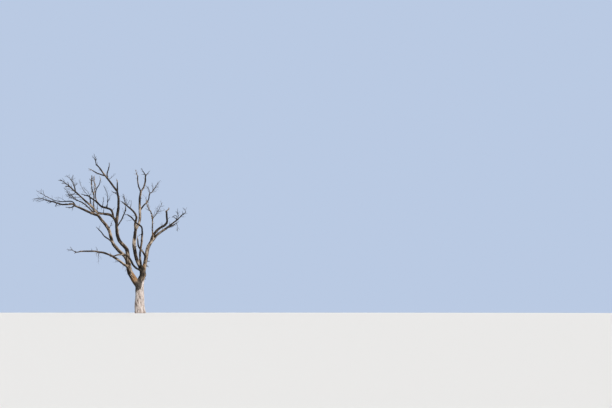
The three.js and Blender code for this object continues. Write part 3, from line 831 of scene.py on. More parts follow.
def stub_tubes(all_stations, random):
    """Short broken stubs dealt along the limbs, each sunk in its limb."""
    tubes = []
    first, run = STUB["share"]
    shares = np.linspace(0, 1, STUB["stations"])
    for stations in all_stations:
        parts = stations.travelled[-1] / STUB["every"]
        for i in range(nearest(parts)):
            share = first + run * (i + random()) / parts
            k = min(len(stations.points) - 2, int(share * (len(stations.points) - 1)))
            turn = 2 * math.pi * random()
            radius = stations.radii[k] * pick(STUB["radius"], random)
            radius = held(radius, STUB["least"], STUB["most"])
            reach = stations.radii[k] + pick(STUB["length"], random)
            angle = pick(STUB["angle"], random)
            bend = scatter(random) * STUB["bend"]
            if stations.name == "trunk" and stations.points[k][2] < STUB["trunk_from"]:
                continue
            across = stations.outward(k, turn)
            heading = stations.headings[k] * math.cos(angle) + across * math.sin(angle)
            points = stations.points[k] + heading * (shares * reach)[:, None]
            points = points + bend * (shares ** 2 * reach)[:, None]
            rows = Stations("stub", points, radius * (1 - (1 - STUB["tip"]) * shares))
            tubes.append(tube(rows, STUB["sides"]))
    return tubes


def join(tubes):
    corners, faces, count = [], [], 0
    for spots, triangles in tubes:
        corners.append(spots)
        faces.append(triangles + count)
        count += len(spots)
    return np.vstack(corners), np.vstack(faces)


def mesh_from(name, corners, faces):
    mesh = bpy.data.meshes.new(name)
    mesh.vertices.add(len(corners))
    mesh.vertices.foreach_set("co", np.ascontiguousarray(corners, dtype=np.float32).ravel())
    mesh.loops.add(faces.size)
    mesh.loops.foreach_set("vertex_index", np.ascontiguousarray(faces, dtype=np.int32).ravel())
    mesh.polygons.add(len(faces))
    mesh.polygons.foreach_set("loop_start", np.arange(0, faces.size, faces.shape[1], dtype=np.int32))
    mesh.update(calc_edges=True)
    mesh.shade_smooth()
    return mesh


def put(name, mesh):
    piece = bpy.data.objects.new(name, mesh)
    bpy.context.scene.collection.objects.link(piece)
    return piece


def read(items, name, width, kind=np.float32):
    """What Blender keeps under a name for each item of a mesh, as one row for each."""
    values = np.empty(len(items) * width, dtype=kind)
    items.foreach_get(name, values)
    return values.reshape(-1, width)


def fuse(tubes):
    """One skin round many crossing tubes, as its corners, faces and edges."""
    source = put("skin_source", mesh_from("skin_source", *join(tubes)))
    remesh = source.modifiers.new("fuse", "REMESH")
    remesh.mode = "VOXEL"
    remesh.voxel_size = SKIN["voxel"]
    depsgraph = bpy.context.evaluated_depsgraph_get()
    skin = bpy.data.meshes.new_from_object(source.evaluated_get(depsgraph))
    corners = read(skin.vertices, "co", 3).astype(float)
    faces = read(skin.loops, "vertex_index", 1, np.int32).reshape(-1, 4)
    edges = read(skin.edges, "vertices", 2, np.int32)
    bpy.data.objects.remove(source)
    bpy.data.meshes.remove(skin)
    return corners, faces, edges


def smoothed(values, edges, share, times):
    """Values moved a share of the way to the mean of their neighbours', several times over."""
    columns = values if values.ndim == 2 else values[:, None]
    count = np.bincount(edges.ravel(), minlength=len(values))
    share = np.reshape(np.broadcast_to(share, (len(values),)), (-1, 1))
    for _ in range(times):
        mean = np.empty_like(columns)
        for k in range(columns.shape[1]):
            total = np.bincount(edges[:, 0], weights=columns[edges[:, 1], k], minlength=len(values))
            total += np.bincount(edges[:, 1], weights=columns[edges[:, 0], k], minlength=len(values))
            mean[:, k] = total / np.maximum(1, count)
        columns = columns + (mean - columns) * share
    return columns.reshape(values.shape)


def normals_of(corners, faces):
    mesh = mesh_from("skin", corners, faces)
    normals = read(mesh.vertices, "normal", 3).astype(float)
    bpy.data.meshes.remove(mesh)
    return normals


class Places:
    """Where each corner of the skin lies on its limb, and on the next nearest one."""

    def __init__(self, corners, all_stations):
        count = len(corners)
        self.scores = np.full((2, count), np.inf)
        self.limbs = np.zeros((2, count), dtype=int)
        self.local = np.zeros((2, count, 3))
        self.radii = np.full((2, count), SPARE_RADIUS)
        for index, stations in enumerate(all_stations):
            margin = SKIN["reach"] * stations.radii.max() * stations.depth.max()
            low = stations.points.min(axis=0) - margin
            high = stations.points.max(axis=0) + margin
            near = np.nonzero(((corners > low) & (corners < high)).all(axis=1))[0]
            for chosen in np.array_split(near, max(1, len(near) // BATCH)):
                if len(chosen):
                    self.measure(corners, chosen, index, stations)

    def measure(self, corners, chosen, index, stations):
        starts, along = stations.points[:-1], np.diff(stations.points, axis=0)
        apart = corners[chosen][:, None, :] - starts[None]
        share = np.clip((apart * along).sum(-1) / (along * along).sum(-1), 0, 1)
        gap = apart - share[..., None] * along
        rows = np.arange(len(chosen))
        k = (gap * gap).sum(-1).argmin(axis=1)
        share, gap = share[rows, k], gap[rows, k]

        def between(values):
            low, high = values[k], values[k + 1]
            part = share if values.ndim == 1 else share[:, None]
            return low + (high - low) * part

        normals, overs = unit(between(stations.normals)), unit(between(stations.overs))
        right, up = (gap * normals).sum(-1), (gap * overs).sum(-1)
        radius, depth = between(stations.radii), between(stations.depth)
        raised = up / np.hypot(right, up + LEAST_OFFSET)
        outward = np.linalg.norm(gap, axis=1) / np.sqrt(1 + (depth ** 2 - 1) * raised ** 2)
        score = outward / radius
        local = np.stack([right, up, between(stations.travelled)], axis=1)
        better = score < self.scores[0, chosen]
        second = ~better & (score < self.scores[1, chosen])
        moved = chosen[better]
        for values in (self.scores, self.limbs, self.local, self.radii):
            values[1, moved] = values[0, moved]
        for rank, picked, spots in ((0, better, moved), (1, second, chosen[second])):
            self.scores[rank, spots] = score[picked]
            self.limbs[rank, spots] = index
            self.local[rank, spots] = local[picked]
            self.radii[rank, spots] = radius[picked]

    def fork_share(self):
        """0 well inside one limb's skin, rising to 0.5 where two limbs meet."""
        ratio = self.scores[1] / np.maximum(self.scores[0], LEAST_SCORE)
        ratio = np.clip(ratio, 1, SKIN["fork_from"])
        return 0.5 * (1 - ease((ratio - 1) / (SKIN["fork_from"] - 1)))


def straightened(local, limbs):
    """Grain places: across, over and along each limb, turned with its spiral grain."""
    turn = RELIEF["twist"] * local[:, 2] + limbs * GRAIN_TURN
    cosine, sine = np.cos(turn), np.sin(turn)
    return np.stack([
        local[:, 0] * cosine - local[:, 1] * sine,
        local[:, 0] * sine + local[:, 1] * cosine,
        local[:, 2] + limbs * GRAIN_SPACING,
    ], axis=1)


def scaled(grain, across, along, offset=0):
    """Grain places measured by the size of a pattern across and along the grain."""
    return grain / np.array([across, across, along]) + offset


def field(places, function):
    return np.array([function(place) for place in places.tolist()])


def clouds(places, layers):
    """A mottled field, by how much its finer layers fade and how many it has."""
    fading, count = layers
    return field(places, lambda place: noise.fractal(place, fading, LAYER_RATE, count))


class Grain:
    """Fields that follow each corner's limb, blended where two limbs meet."""

    def __init__(self, places):
        self.forks = places.fork_share()
        self.shared = np.nonzero(self.forks > SKIN["fork_least"])[0]
        self.places = straightened(places.local[0], places.limbs[0])
        self.radii = places.radii[0]
        self.limbs = places.limbs[0]
        self.other = straightened(places.local[1, self.shared], places.limbs[1, self.shared])
        self.other_radii = places.radii[1, self.shared]
        self.other_limbs = places.limbs[1, self.shared]

    def blended(self, function):
        values = function(self.places, self.radii, self.limbs)
        others = function(self.other, self.other_radii, self.other_limbs)
        share = self.forks[self.shared].reshape((-1,) + (1,) * (values.ndim - 1))
        values[self.shared] += (others - values[self.shared]) * share
        return values


def ridged(place):
    """Sharp valleys, with finer ones between them."""
    across, along = RELIEF["ridge_finer"]
    finer = (place[0] * across, place[1] * across, place[2] * along)
    return abs(noise.noise(place)) + RELIEF["ridge_finer_share"] * abs(noise.noise(finer))


def height_of(kind, radii):
    """How high a kind of relief is, which is less on a slim limb."""
    return np.minimum(RELIEF[f"{kind}_height"], RELIEF[f"{kind}_share"] * radii)


def relief_at(grain, radii, _limbs):
    """The bark's height in metres, how deep in a crack each place lies, and its share of plate."""
    size = RELIEF["flute_across"] * radii[:, None]
    flutes = field(grain / np.hstack([size, size, size * 0 + RELIEF["flute_along"]]), noise.noise)
    ridges = field(scaled(grain, RELIEF["ridge_across"], RELIEF["ridge_along"]), ridged)
    ridges = np.minimum(1, ridges / RELIEF["ridge_full"])
    fibres = field(scaled(grain, RELIEF["grain_across"], RELIEF["grain_along"]), noise.noise)
    patch = clouds(grain / RELIEF["patch_size"] + RELIEF["patch_offset"], RELIEF["patch_layers"])
    plates = ease((patch + RELIEF["plate_from"]) * RELIEF["plate_rate"])
    places = scaled(grain, RELIEF["split_across"], RELIEF["split_along"], RELIEF["split_offset"])
    splits = ease(1 - np.abs(field(places, noise.noise)) / RELIEF["split_width"])
    height = RELIEF["flute_share"] * radii * flutes - RELIEF["inset"] * radii
    height -= height_of("split", radii) * splits
    height += height_of("ridge", radii) * (ridges - RELIEF["ridge_level"])
    height += height_of("grain", radii) * fibres
    height += height_of("patch", radii) * (plates - 0.5)
    return np.stack([height, np.maximum(1 - ridges, splits), plates], axis=1)


def knot_places(all_stations, random):
    """Where old branch scars swell, as the middle of each and its size."""
    knots = []
    for stations in all_stations:
        count = nearest(stations.travelled[-1] / KNOT["every"])
        for i in range(count):
            k = min(len(stations.points) - 1, int((i + random()) / count * len(stations.points)))
            turn = 2 * math.pi * random()
            size = stations.radii[k] * pick(KNOT["size"], random)
            if size > KNOT["least_voxels"] * SKIN["voxel"]:
                middle = stations.points[k] + stations.outward(k, turn) * stations.radii[k]
                knots.append((middle, size))
    return knots


def knot_swell(corners, knots):
    """How far scars and burls stand out at each corner, in metres."""
    swell = np.zeros(len(corners))
    for middle, size, height in BURLS:
        swell += height * np.exp(-(((corners - middle) / size) ** 2).sum(axis=1))
    for middle, size in knots:
        near = np.nonzero((np.abs(corners - middle) < KNOT["reach"] * size).all(axis=1))[0]
        apart = np.linalg.norm(corners[near] - middle, axis=1) / size
        hollow = KNOT["hollow"] * np.exp(-(apart / KNOT["hollow_size"]) ** 2)
        swell[near] += KNOT["height"] * size * (np.exp(-apart ** 2) - hollow)
    return swell


def build_skin(all_stations):
    """The bark's corners and faces, where each corner lies on the grain, its crack and its plate."""
    tubes = [limb_tube(stations) for stations in all_stations]
    tubes += stub_tubes(all_stations, seeded_random(STUB_SEED))
    corners, faces, edges = fuse(tubes)
    corners = smoothed(corners, edges, SKIN["smoothing"], SKIN["smoothings"])
    webbed = np.minimum(1, Places(corners, all_stations).fork_share() * SKIN["web_rate"])
    webbed = smoothed(webbed, edges, SKIN["web_smoothing"], SKIN["web_smoothings"])
    corners = smoothed(corners, edges, SKIN["fork_smoothing"] * webbed, SKIN["fork_smoothings"])
    grain = Grain(Places(corners, all_stations))
    height, crack_shade, plate = grain.blended(relief_at).T
    height = height + knot_swell(corners, knot_places(all_stations, seeded_random(KNOT_SEED)))
    corners = corners + normals_of(corners, faces) * height[:, None]
    return corners, faces, grain, crack_shade, plate


# Tones of the bark: 0 is near black and 1 is pale. Painted light and shade: sides that face
# the sun are painted paler, and sides that face away from it are painted darker.
# A mottle or streak has how far it runs across and along the grain, and where it starts.
TONE = {
    "middle": 0.35, "plate_share": 0.1, "joint_rate": 2.4,
    "painted_sunlight": (0.66, -0.4, 0.62), "painted_sunlight_share": 0.36, "painted_sunlight_rate": 1.25, "painted_sunlight_mottle": 0.25,
    "mottle": (0.26, 0.7, 3.1), "mottle_layers": (0.7, 5), "mottle_share": 0.45,
    "streak": (0.055, 1.1, 8.7), "streak_layers": (0.8, 3), "streak_share": 0.2,
    "streak_mottle": 0.2, "slim": (0.04, 0.13), "slim_share": 0.2, "slim_painted_sunlight": 0.45,
}

# How much paler or darker than the middle tone each limb is, from its root to its tip. The
# trunk has the middle tone.
LIMB_TONES = {
    "left_bough": (0.02, -0.16, -0.15, 0.08),
    "left_tall_limb": (0.1, -0.2, -0.4, -0.36, -0.36, -0.46),
    "far_left_limb": (0.2, 0.05, -0.1, -0.26, -0.12, 0.08, 0, -0.14, -0.22),
    "far_left_reach": (0.22, -0.12, -0.24, -0.24, -0.04, -0.1),
    "far_left_upper": (-0.1, -0.3, -0.06, 0.1),
    "low_left_limb": (0.1, -0.18, 0, 0.02, -0.06, -0.02),
    "short_left_limb": (0.2, 0, -0.1, -0.2, -0.25),
    "diagonal_limb": (-0.5, -0.34, -0.28, 0.16, -0.1, -0.28),
    "arched_limb": (-0.38, -0.32, -0.2, -0.22, -0.08, -0.1),
    "hooked_upright": (0, -0.04, -0.12, -0.2, -0.08),
    "back_left_limb": (0, 0.12, 0.12, 0.14, 0.08),
    "tall_upright": (0.2, 0.1, -0.04, -0.04, -0.1),
    "riser_limb": (-0.4, -0.14, -0.24, -0.32, -0.36),
    "left_crown_limb": (-0.3, -0.14, -0.28, 0.04, 0, -0.24),
    "crown_stub": (-0.14, -0.25, -0.25, -0.26),
    "crown_spur": (-0.26, -0.3, -0.36, -0.3),
    "crown_side_limb": (-0.1, -0.12, -0.3, -0.3),
    "right_bough": (-0.2, -0.26, -0.24, -0.06, -0.24, 0.08),
    "central_bough": (0.2, 0.1, -0.4, 0.04, 0, 0.3),
    "crossing_limb": (-0.18, -0.5, -0.4, -0.12, 0.02, 0),
    "front_limb": (0.1, -0.2, -0.02, -0.12, -0.06, -0.16),
    "front_arm": (-0.36, -0.36, -0.26, -0.42, -0.3),
    "central_limb": (-0.04, -0.16, -0.2, 0, 0.12, 0, -0.42, 0.08, 0),
    "central_left_tip": (-0.2, -0.06, -0.08, -0.1),
    "central_right_tip": (-0.2, 0.02, -0.3, -0.4, -0.3, -0.3),
    "inner_left_limb": (-0.16, 0.12, 0.05, 0, 0.04, 0),
    "inner_right_limb": (-0.16, -0.08, -0.16, -0.2, 0.08),
    "inner_spur": (-0.5, -0.5, 0.04, -0.2, -0.2, -0.4),
    "right_lower_limb": (0.6, 0.5, 0.24, 0.24, 0.5, 0.34),
    "right_upper_limb": (0, -0.45, -0.5, -0.6, -0.7, -0.3),
    "right_upright": (0.38, 0.42, 0.34, 0.26, 0.24),
    "right_low_side": (0.4, 0.5, 0.4),
}

# Colours with a place on the bark, from where the photograph shows them. The pale wood of the
# trunk ends at a ragged slope, and each patch has its middle, its reach and where it faces.
PALE_TOP = {"right": (-0.34, 0.1, 0.22, 0.36), "height": (1.62, 1.94, 2.58, 2.75), "ragged": 0.22,
            "edge": 0.12}
PATCHES = {
    "charred": (((-0.08, 0, 2.26), (0.34, 0.6, 0.6), (0, 0, 0)),),
    # A near-black patch at the top of the trunk, just under the fork
    "sooty": (((0.06, 0, 3.2), (0.3, 0.6, 0.74), (0, 0, 0)),),
    "raw": (
        ((-0.44, -0.25, 3.0), (0.36, 0.4, 0.62), (0.6, -0.7, 0.3)),
        ((-0.1, -0.1, 4.25), (0.26, 0.3, 0.3), (0, 0, 0)),
        ((0.34, 0, 3.75), (0.07, 0.4, 0.3), (0, 0, 0)),
        ((1.02, 0.2, 6.6), (0.14, 0.3, 0.42), (0, 0, 0)),
        ((-1.3, -0.6, 4.3), (0.16, 0.3, 0.2), (0, 0, 0)),
    ),
}
RAGGED = {"size": (0.33, 0.33, 0.8), "layers": (0.8, 4), "patch": 0.55, "reach": 1.15, "rate": 2.2,
          "facing": (1.6, 0.35)}


def tones_at(grain, radii, limbs, names, lengths):
    """How mottled and how streaked each place is, its limb's tone, and how slim its limb is there."""
    share = (grain[:, 2] - limbs * GRAIN_SPACING) / lengths[limbs]
    of_limb = np.zeros(len(limbs))
    for index, name in enumerate(names):
        run = LIMB_TONES.get(name, (0,))
        here = limbs == index
        of_limb[here] = np.interp(share[here], np.linspace(0, 1, len(run)), run)
    mottle = clouds(scaled(grain, *TONE["mottle"]), TONE["mottle_layers"])
    streak = clouds(scaled(grain, *TONE["streak"]), TONE["streak_layers"])
    slim = 1 - ease((radii - TONE["slim"][0]) / (TONE["slim"][1] - TONE["slim"][0]))
    return np.stack([mottle, streak, of_limb, slim], axis=1)


def patches(corners, normals, spots, ragged):
    """The share of some patches' colour at each place."""
    share = np.zeros(len(corners))
    rate, least = RAGGED["facing"]
    for middle, reach, towards in spots:
        apart = np.linalg.norm((corners - np.array(middle)) / np.array(reach), axis=1)
        patch = ease((RAGGED["reach"] - apart + RAGGED["patch"] * ragged) * RAGGED["rate"])
        if any(towards):
            patch = patch * ease(normals @ unit(np.array(towards)) * rate + least)
        share = np.maximum(share, patch)
    return share


def bark_tones(corners, normals, grain, all_stations, crack_shade, plate):
    """What the bark's material reads at each corner, by name."""
    names = [stations.name for stations in all_stations]
    lengths = np.array([stations.travelled[-1] for stations in all_stations])
    mottle, streak, of_limb, slim = grain.blended(lambda *where: tones_at(*where, names, lengths)).T
    # Painted light and shade: corners that face the sun's way are made paler, those facing away darker
    facing = normals @ unit(np.array(TONE["painted_sunlight"])) + TONE["painted_sunlight_mottle"] * mottle
    painted_sunlight = 2 * ease(0.5 + 0.5 * TONE["painted_sunlight_rate"] * facing) - 1
    painted_sunlight = TONE["painted_sunlight_share"] * painted_sunlight * (1 - TONE["slim_painted_sunlight"] * slim) - TONE["slim_share"] * slim
    ragged = clouds(corners / np.array(RAGGED["size"]), RAGGED["layers"])
    top = np.interp(corners[:, 0], PALE_TOP["right"], PALE_TOP["height"])
    pale = ease((top + ragged * PALE_TOP["ragged"] - corners[:, 2]) / PALE_TOP["edge"] + 0.5)
    tones = {
        # The tone holds painted light and shade besides the limbs' own tones, mottle, streaks and
        # plates
        "tone": (TONE["middle"] + of_limb + painted_sunlight + TONE["mottle_share"] * mottle
                 + TONE["streak_share"] * streak + TONE["plate_share"] * (plate - 0.5)),
        "streak": 0.5 + 0.5 * streak + TONE["streak_mottle"] * mottle,
        "crack_shade": crack_shade,
        "pale": pale,
        "joint": np.minimum(1, TONE["joint_rate"] * grain.forks),
        "grain": grain.places,
    }
    for name, spots in PATCHES.items():
        tones[name] = patches(corners, normals, spots, ragged) * (1 - pale)
    return tones


# Each piece of the picture, with the limbs whose skin it is or on which its twigs grow
BARK_PIECES = {
    "bark_trunk": ("trunk", "left_bough"),
    "bark_middle": (
        "right_bough", "central_bough", "crossing_limb", "front_limb", "front_arm", "inner_spur",
        "central_limb", "central_left_tip", "central_right_tip", "inner_left_limb", "inner_right_limb",
    ),
    "bark_left": (
        "left_tall_limb", "low_left_limb", "short_left_limb", "far_left_limb", "riser_limb",
        "left_crown_limb", "crown_stub", "crown_spur", "crown_side_limb",
    ),
    "bark_far_left": (
        "far_left_reach", "far_left_upper", "diagonal_limb", "arched_limb", "hooked_upright",
        "back_left_limb", "tall_upright",
    ),
    "bark_right": ("right_lower_limb", "right_upper_limb", "right_upright", "right_low_side"),
}
TWIG_PIECES = {
    "twigs_far_left": (
        "far_left_limb", "far_left_reach", "far_left_upper", "short_left_limb", "back_left_limb",
        "tall_upright", "low_left_limb",
    ),
    "twigs_left": (
        "left_bough", "left_tall_limb", "diagonal_limb", "arched_limb", "hooked_upright",
        "riser_limb", "left_crown_limb", "crown_stub", "crown_spur", "crown_side_limb",
    ),
    "twigs_middle": (
        "trunk", "central_bough", "crossing_limb", "front_limb", "front_arm", "central_limb",
        "central_left_tip", "central_right_tip", "inner_left_limb", "inner_right_limb", "inner_spur",
    ),
    "twigs_right": (
        "right_bough", "right_lower_limb", "right_upper_limb", "right_upright", "right_low_side",
    ),
}


def cut_at_ground(mesh):
    """The trunk's foot ends in one flat face on the ground."""
    shape = bmesh.new()
    shape.from_mesh(mesh)
    everything = shape.verts[:] + shape.edges[:] + shape.faces[:]
    cut = bmesh.ops.bisect_plane(
        shape, geom=everything, plane_co=(0, 0, 0), plane_no=(0, 0, 1), clear_inner=True,
    )
    rim = [part for part in cut["geom_cut"] if isinstance(part, bmesh.types.BMEdge)]
    bmesh.ops.holes_fill(shape, edges=rim, sides=0)
    shape.to_mesh(mesh)
    shape.free()


def add_tone(mesh, name, values):
    kind = "FLOAT_VECTOR" if values.ndim == 2 else "FLOAT"
    stored = mesh.attributes.new(name, kind, "POINT")
    field_name = "vector" if values.ndim == 2 else "value"
    stored.data.foreach_set(field_name, values.astype(np.float32).ravel())


def make_bark(limbs, finish):
    names = list(limbs)
    parents = {name: source for name, source, *_ in LIMBS}
    shares = {name: at for name, _, at, *_ in LIMBS}
    all_stations = []
    for index, (name, limb) in enumerate(limbs.items()):
        parent = limbs.get(parents.get(name))
        parent_radius = float(parent.radius_at(shares[name])) * MM if parent else 0
        all_stations.append(limb_stations(limb, parent_radius, index))
    corners, faces, grain, crack_shade, plate = build_skin(all_stations)
    normals = normals_of(corners, faces)
    tones = bark_tones(corners, normals, grain, all_stations, crack_shade, plate)
    for piece_name, nodes in BARK_PIECES.items():
        wanted = np.isin(grain.limbs[faces[:, 0]], [names.index(node) for node in nodes])
        kept, renumbered = np.unique(faces[wanted], return_inverse=True)
        mesh = mesh_from(piece_name, corners[kept], renumbered.reshape(-1, 4))
        for tone, values in tones.items():
            add_tone(mesh, tone, values[kept])
        if "trunk" in nodes:
            cut_at_ground(mesh)
        mesh.materials.append(finish)
        piece = put(piece_name, mesh)
        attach(piece, "root")
        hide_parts(*nodes)
        print(piece_name, len(mesh.polygons), "faces")


# Twigs as meshes, in metres: their sides by how stout they are, how often each of the three
# shades is dealt, and the limbs whose twigs have a shade of their own in the photograph
TWIG_SHAPE = {"station": 0.055, "least": 3, "most": 14, "crook": 0.5, "crook_length": 0.014,
              "swelling": 0.55, "swelling_length": 3, "roughness": 0.13,
              "sides": ((0.018, 7), (0.011, 6), (0, 4))}
TWIG_TONES = (0.4, 0.38, 0.22)
PLACED_TWIG_TONES = {
    "right_upright": 1, "right_low_side": 1, "riser_limb": 0, "front_arm": 0, "arched_limb": 0,
    "far_left_reach": 0, "diagonal_limb": 1, "left_crown_limb": 0, "tall_upright": 1,
    "inner_right_limb": 1,
}


def twig_tube(twig, random):
    """A twig's tube, crooked and rough, and swollen where it springs from another."""
    length = twig.curve.length * MM
    count = math.ceil(length / TWIG_SHAPE["station"])
    count = held(count, TWIG_SHAPE["least"], TWIG_SHAPE["most"])
    shares = np.linspace(0, 1, count + 1)
    points = twig.curve.at(shares) * MM
    radii = twig.radius_at(shares) * MM
    crook = TWIG_SHAPE["crook"] * radii + TWIG_SHAPE["crook_length"] * min(1, length)
    crook[0] = 0
    points = points + random.uniform(-1, 1, (count + 1, 3)) * crook[:, None]
    swelling = TWIG_SHAPE["swelling"] if twig.order else 0
    faded = np.exp(-shares * length / (TWIG_SHAPE["swelling_length"] * radii[0]))
    rough = 1 + random.uniform(-1, 1, count + 1) * TWIG_SHAPE["roughness"]
    radii = radii * (1 + swelling * faded) * rough
    sides = next(sides for least, sides in TWIG_SHAPE["sides"] if radii[0] > least)
    return tube(Stations("twig", points, radii), sides)


def make_twigs(growths, finishes):
    random = np.random.default_rng(TWIG_SEED)
    limb_of = {name: limb for name, limb, *_ in MASSES}
    for piece_name, names in TWIG_PIECES.items():
        tubes, tones, nodes = [], [], []
        for growth in growths:
            limb = limb_of.get(growth.owner, growth.owner)
            if limb not in names:
                continue
            if growth.owner in limb_of:
                nodes.append(growth.owner)
            dealt = random.choice(len(TWIG_TONES), p=TWIG_TONES)
            tone = PLACED_TWIG_TONES.get(limb, dealt) if growth.tone is None else growth.tone
            for twig in growth.twigs:
                tubes.append(twig_tube(twig, random))
                tones.append(np.full(len(tubes[-1][1]), tone))
        mesh = mesh_from(piece_name, *join(tubes))
        for finish in finishes:
            mesh.materials.append(finish)
        mesh.polygons.foreach_set("material_index", np.concatenate(tones).astype(np.int32))
        piece = put(piece_name, mesh)
        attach(piece, "root")
        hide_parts(*nodes)
        print(piece_name, len(mesh.polygons), "faces,", len(tubes), "twigs")


# Materials: colours that run from dark to pale where a ramp has them
LIMB_COLOURS = (
    (0.24, (0.022, 0.017, 0.013)), (0.4, (0.06, 0.044, 0.032)), (0.53, (0.17, 0.125, 0.088)),
    (0.66, (0.34, 0.265, 0.198)), (0.88, (0.5, 0.43, 0.355)),
)
PALE_COLOURS = (
    (0.2, (0.36, 0.29, 0.258)), (0.44, (0.59, 0.513, 0.478)), (0.7, (0.775, 0.715, 0.695)),
)
FIBRE_SHADES = ((0.3, (0.68, 0.66, 0.64)), (0.62, (1, 1, 1)))
PATCH_COLOURS = {
    "raw": (0.33, 0.18, 0.08), "sooty": (0.019, 0.017, 0.012), "charred": (0.066, 0.059, 0.055),
}
# Painted shade: cracks and the valleys between ridges are darkened towards this colour
CRACK_SHADE_COLOUR = (0.022, 0.017, 0.014)
TWIG_COLOURS = ((0.032, 0.025, 0.02), (0.065, 0.05, 0.038), (0.19, 0.145, 0.105))

# How the patterns work together. A noise has its repeats in a metre, its detail, its roughness
# and its distortion, a spread has the two ends that it reads and the two that it gives, and a
# bump has its strength and its height in metres.
BARK_LOOK = {
    "fibres": ((110, 110, 7), 4, 0.65, 0), "joint_fibres": ((55, 55, 30), 4, 0.65, 0),
    "flakes": ((19, 19, 11), 5, 0.65, 0.5), "pores": ((70, 70, 50), 3, 0.6, 0),
    "swing": (0.25, 0.75, -1, 1), "flake_share": 0.12, "fibre_share": 0.08,
    "streak_fibre_share": 0.1, "patch": (0, 1, 0, 0.86), "shade_share": 0.75,
    "crack_shade": (0.55, 1, 0, 0.72), "roughness": (0.3, 0.7, 0.78, 0.98), "specular": 0.25,
    "pore_share": 0.6, "bump": (0.6, 0.006),
}
TWIG_LOOK = {
    "mottle": ((9, 9, 9), 5, 0.6, 0), "flakes": ((70, 70, 70), 3, 0.6, 0), "flake_share": 0.3,
    "stops": (0.5, 0.64, 0.8), "darker": 0.55, "paler": 1.7,
    "roughness": (0.3, 0.7, 0.76, 0.95), "specular": 0.25, "bump": (0.5, 0.003),
}


class Nodes:
    """A material's node tree, with the few kinds of node that the finishes use."""

    def __init__(self, name):
        self.material = bpy.data.materials.new(name)
        self.material.use_nodes = True
        self.tree = self.material.node_tree
        self.shader = self.tree.nodes["Principled BSDF"]

    def link(self, source, target):
        self.tree.links.new(source, target)

    def attribute(self, name, output="Fac"):
        made = self.tree.nodes.new("ShaderNodeAttribute")
        made.attribute_name = name
        return made.outputs[output]

    def place(self):
        return self.tree.nodes.new("ShaderNodeTexCoord").outputs["Object"]

    def noise(self, vector, scales, *numbers):
        stretched = self.tree.nodes.new("ShaderNodeVectorMath")
        stretched.operation = "MULTIPLY"
        self.link(vector, stretched.inputs[0])
        stretched.inputs[1].default_value = scales
        made = self.tree.nodes.new("ShaderNodeTexNoise")
        for socket, number in zip(("Scale", "Detail", "Roughness", "Distortion"), (1, *numbers)):
            made.inputs[socket].default_value = number
        self.link(stretched.outputs[0], made.inputs["Vector"])
        return made.outputs["Fac"]

    def ramp(self, value, stops):
        made = self.tree.nodes.new("ShaderNodeValToRGB")
        steps = made.color_ramp.elements
        while len(steps) < len(stops):
            steps.new(0.5)
        for step, (place, colour) in zip(steps, stops):
            step.position = place
            step.color = (*colour, 1)
        self.link(value, made.inputs["Fac"])
        return made.outputs["Color"]

    def spread(self, value, *ends):
        made = self.tree.nodes.new("ShaderNodeMapRange")
        self.link(value, made.inputs["Value"])
        for socket, number in zip(("From Min", "From Max", "To Min", "To Max"), ends):
            made.inputs[socket].default_value = number
        return made.outputs["Result"]

    def mix(self, share, one, other, blend="MIX"):
        """Two colours mixed. The node's sockets go by number, because their names repeat."""
        made = self.tree.nodes.new("ShaderNodeMix")
        made.data_type = "RGBA"
        made.blend_type = blend
        if isinstance(share, float):
            made.inputs[0].default_value = share
        else:
            self.link(share, made.inputs[0])
        for socket, colour in ((made.inputs[6], one), (made.inputs[7], other)):
            if isinstance(colour, tuple):
                socket.default_value = (*colour, 1)
            else:
                self.link(colour, socket)
        return made.outputs[2]

    def blend(self, share, one, other):
        made = self.tree.nodes.new("ShaderNodeMix")
        for socket, value in zip(made.inputs[:1] + made.inputs[2:4], (share, one, other)):
            self.link(value, socket)
        return made.outputs[0]

    def sum_of(self, one, other, weight):
        made = self.tree.nodes.new("ShaderNodeMath")
        made.operation = "MULTIPLY_ADD"
        self.link(other, made.inputs[0])
        made.inputs[1].default_value = weight
        self.link(one, made.inputs[2])
        return made.outputs[0]

    def surface(self, colour, grit, height, look):
        """Joins on the colour, a roughness that follows the grit, and the bump of a height."""
        self.link(colour, self.shader.inputs["Base Color"])
        self.link(self.spread(grit, *look["roughness"]), self.shader.inputs["Roughness"])
        self.shader.inputs["Specular IOR Level"].default_value = look["specular"]
        bump = self.tree.nodes.new("ShaderNodeBump")
        strength, distance = look["bump"]
        bump.inputs["Strength"].default_value = strength
        bump.inputs["Distance"].default_value = distance
        self.link(height, bump.inputs["Height"])
        self.link(bump.outputs["Normal"], self.shader.inputs["Normal"])


def bark_material():
    """Fibres follow the grain, except at the joints, where two grains would meet."""
    look = BARK_LOOK
    nodes = Nodes("bark")
    place = nodes.place()
    along = nodes.noise(nodes.attribute("grain", "Vector"), *look["fibres"])
    fibres = nodes.blend(nodes.attribute("joint"), along, nodes.noise(place, *look["joint_fibres"]))
    flakes = nodes.noise(place, *look["flakes"])
    pores = nodes.noise(place, *look["pores"])
    swing = nodes.spread(fibres, *look["swing"])
    flaked = nodes.spread(flakes, *look["swing"])
    tone = nodes.sum_of(nodes.attribute("tone"), flaked, look["flake_share"])
    limb = nodes.ramp(nodes.sum_of(tone, swing, look["fibre_share"]), LIMB_COLOURS)
    streaks = nodes.sum_of(nodes.attribute("streak"), swing, look["streak_fibre_share"])
    colour = nodes.mix(nodes.attribute("pale"), limb, nodes.ramp(streaks, PALE_COLOURS))
    for name, tint in PATCH_COLOURS.items():
        colour = nodes.mix(nodes.spread(nodes.attribute(name), *look["patch"]), colour, tint)
    colour = nodes.mix(look["shade_share"], colour, nodes.ramp(fibres, FIBRE_SHADES), "MULTIPLY")
    # Painted shade in the cracks and valleys of the relief
    crack_shade = nodes.spread(nodes.attribute("crack_shade"), *look["crack_shade"])
    colour = nodes.mix(crack_shade, colour, CRACK_SHADE_COLOUR)
    nodes.surface(colour, pores, nodes.sum_of(fibres, pores, look["pore_share"]), look)
    return nodes.material


